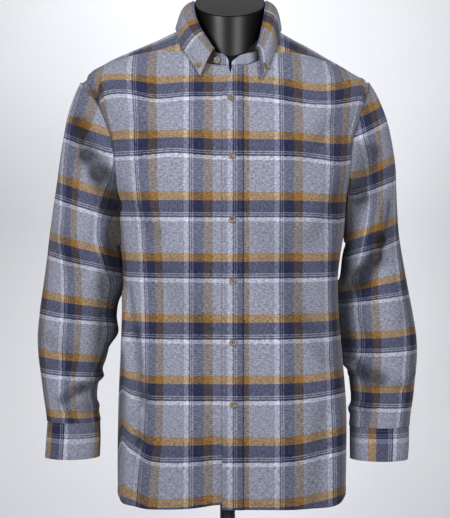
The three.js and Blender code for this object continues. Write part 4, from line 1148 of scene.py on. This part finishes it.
# Piece, then row and column where the line starts and ends
seamRows = [
    ("cloth_placket", 0.0, 0.14, 1.0, 0.14), ("cloth_placket", 0.0, 0.86, 1.0, 0.86),
    ("cloth_front_right", 0.012, 0.07, 0.012, 1.0), ("cloth_front_left", 0.012, 0.0, 0.012, 1.0),
    ("cloth_back", 0.012, 0.0, 0.012, 1.0),
    ("cloth_front_right", 0.985, 0.36, 0.985, 1.0), ("cloth_front_left", 0.985, 0.31, 0.985, 1.0),
    ("cloth_back", 0.985, 0.0, 0.985, 1.0),
    ("cloth_collar_leaf", 0.88, 0.025, 0.88, 0.975),
    ("cloth_collar_leaf", 0.22, 0.025, 0.88, 0.025),
    ("cloth_collar_leaf", 0.22, 0.975, 0.88, 0.975),
    ("cloth_collar_stand", 0.1, 0.01, 0.1, 0.99),
]
for wearer in ("right", "left"):
    band, strip = "cloth_cuff_" + wearer, "cloth_slit_strip_" + wearer
    seamRows += [(band, 0.08, 0, 0.08, 1), (band, 0.93, 0, 0.93, 1), (strip, 0.03, 0.1, 1, 0.1),
                 (strip, 0.03, 0.9, 1, 0.9), (strip, 0.03, 0.1, 0.03, 0.9)]
seams = []
for row in seamRows:
    seams += stitchLine(*row)
solidMesh("seam_stitches", seams, thread)
print("stitches made:", len(seams))


# Dress form, stand and cap

formGaps = table("height gap", [
    (335, 10), (500, 9), (694, 8), (850, 7), (933, 11), (955, 11), (1010, 6), (1036, 5)])
form = {
    "around": 144, "cloth": 2, "top": 1032, "rows": 120,
    "lowHeights": [335, 338, 343, 350, 357], "rounding": [30, 19, 12, 6, 3],  # rounded lower edge
    "straightFrom": 365,
    "neckRadius": 59.5, "neckFlare": 2, "neckWaist": 0.7, "neckTilt": math.radians(27),
    "neckFoot": (0, 940), "neckTop": (-10, 1077),  # y and height of the neck's middle line
}


# Torso: the body surface moved in by the cloth and a gap. Neck: rings that tilt forward evenly.
def formParts():
    turns = np.linspace(0, 2 * math.pi, form["around"] + 1)[None] + 1e-4
    straight = np.linspace(form["straightFrom"], form["top"], form["rows"])
    heights = np.concatenate([form["lowHeights"], straight])[:, None]
    rounding = np.interp(heights, form["lowHeights"] + [form["straightFrom"]],
                         form["rounding"] + [0])
    p = bodyPoint(turns, heights)
    inwards = form["cloth"] + tableValue(formGaps, "gap", heights) + rounding
    torso = p - bodyNormal(p) * inwards[..., None]
    torso[..., 2] = np.where(heights < form["straightFrom"], heights, torso[..., 2])
    share = np.linspace(0, 1, 40)[:, None]
    radius = form["neckRadius"] + form["neckFlare"] * (1 - share) ** 2
    radius = radius - form["neckWaist"] * np.sin(math.pi * share)
    forward, tilt = -radius * np.cos(turns), share * form["neckTilt"]
    middleY, middleZ = (mix(low, high, share)
                        for low, high in zip(form["neckFoot"], form["neckTop"]))
    neck = point(radius * np.sin(turns), middleY + forward * np.cos(tilt),
                 middleZ + forward * np.sin(tilt))
    return [closeEnds(torso), closeEnds(neck)]


# Adds a row at each end with all its points in the middle of that end.
def closeEnds(p):
    first, last = (np.repeat(row.mean(1, keepdims=True), p.shape[1], 1) for row in (p[:1], p[-1:]))
    return np.concatenate([first, p, last])


# its neck's wall meets the top at an edge, and the rest of the form is rounded
dressForm = solidMesh("form_lacquered", formParts(), glossBlack, "form_torso")
dressForm.data.set_sharp_from_angle(angle=math.radians(60))


# Turned piece: a profile of radius and height swung about z.
def turnedPiece(profile, around=96):
    angle = np.linspace(0, 2 * math.pi, around + 1)[None]
    r, z = (np.array(profile, float)[:, i:i + 1] for i in (0, 1))
    return point(r * np.cos(angle), r * np.sin(angle), z)


# Profiles of radius and height
capProfile = [
    (0, 1.5), (50, 1.5), (56, 1.4), (58, 0.9), (58.5, 0), (58.3, -1.2), (57, -1.5), (0, -1.5)]
poleProfile = [(0, 12.3), (12.5, 12.3), (12.5, 334), (11.8, 334.7), (0, 334.7)]
baseProfile = [(0, 0), (149, 0), (150, 1), (150, 4), (149, 6), (144, 8), (40, 12), (0, 12)]
capLift, poleX = 1.8, -4

capAxis = np.array([0, -math.sin(form["neckTilt"]), math.cos(form["neckTilt"])])
capMiddle = np.array([0, *form["neckTop"]]) + capAxis * capLift
cap = placeOn(turnedPiece(capProfile), capMiddle, capAxis)
solidMesh("form_cap_painted", [cap], capGrey, "form_neck_cap")
pole = turnedPiece(poleProfile, 64) + np.array([poleX, 0, 0])
solidMesh("pole_steel", [pole], darkSteel, "stand_pole")
solidMesh("base_painted", [turnedPiece(baseProfile, 144)], darkPaint, "stand_base")
print("form and stand made")
# Floor and backdrop in one sweep: flat, then a quarter circle up into the wall

sweep = {"front": -3200, "bend": 500, "radius": 700, "top": 3200, "halfWidth": 3000}


def sweepPiece():
    angle, wall = np.linspace(0, math.pi / 2, 40), sweep["bend"] + sweep["radius"]
    bendY = sweep["bend"] + sweep["radius"] * np.sin(angle)
    bendZ = sweep["radius"] * (1 - np.cos(angle))
    y = np.concatenate([[sweep["front"]], bendY, [wall]])
    z = np.concatenate([[0], bendZ, [sweep["top"]]])
    x = np.array([-1, 1]) * sweep["halfWidth"]
    p = point(x[None], y[:, None], z[:, None])
    faces = squareCorners(np.arange(len(y) * 2).reshape(-1, 2))
    made = newObject("studio_sweep", newMesh("studio_sweep", [p.reshape(-1, 3)], [faces]))
    paper = hardMaterial("palePaperSweep", "#DADBDF", "#DDDEE2", 0.9, 3.0)
    made.data.materials.append(paper)
    # from behind, the paper is clear, so that the back of the shirt can be looked at
    tree = paper.node_tree
    output = next(node for node in tree.nodes if node.type == "OUTPUT_MATERIAL")
    solid = output.inputs["Surface"].links[0].from_node
    facing, clear = addNode(tree, "NewGeometry"), addNode(tree, "BsdfTransparent")
    both = addNode(tree, "MixShader", {0: (facing, "Backfacing"), 1: (solid, "BSDF"),
                                       2: (clear, "BSDF")})
    connect(tree, (both, 0), output, "Surface")


sweepPiece()

white = "#FFFFFF"
lights = [  # name, place (m), aim (m), size (m), power (W), spread (degrees), colour
    ("softbox_left", (-1.7, -2.6, 1.4), (0, 0, 0.84), 1.0, 4.9, 46, white),
    ("softbox_right", (1.2, -2.9, 1.3), (0, 0, 0.84), 1.0, 6.0, 60, white),
    ("backdrop_light", (-0.12, 0.35, 2.3), (-0.07, 1.2, 0.8), 1.2, 9.5, 80, white),
]
for name, place, aim, size, power, spread, colour in lights:
    data = bpy.data.lights.new(name, "AREA")
    data.shape, data.size, data.spread = "SQUARE", size, math.radians(spread)
    data.energy, data.color = power, toLinear(colour)[:3]
    lamp = bpy.data.objects.new(name, data)
    lamp.location = place
    away = np.array(place) - np.array(aim)
    tilt, turn = math.acos(away[2] / np.linalg.norm(away)), math.atan2(away[1], away[0])
    lamp.rotation_euler = (tilt, 0, turn + math.pi / 2)
    bpy.context.scene.collection.objects.link(lamp)

world = bpy.data.worlds.new("studio_world")
world.use_nodes = True
sky = world.node_tree.nodes["Background"]
sky.inputs["Color"].default_value = toLinear("#EDEDEF")
sky.inputs["Strength"].default_value = 0.17
bpy.context.scene.world = world
print("studio made")

# Camera level with the chest, 2.5 m away, its view moved down by a shift as in the photograph
lens = bpy.data.cameras.new("camera")
lens.sensor_fit, lens.sensor_width, lens.lens, lens.shift_y = "HORIZONTAL", 36, 120.5, -0.1533
camera = bpy.data.objects.new("camera", lens)
camera.location = (-0.0083, -2.5, 0.770)
camera.rotation_euler = (math.pi / 2, 0, 0)
bpy.context.scene.collection.objects.link(camera)
bpy.context.scene.camera = camera
bpy.context.scene.view_settings.view_transform = "Standard"
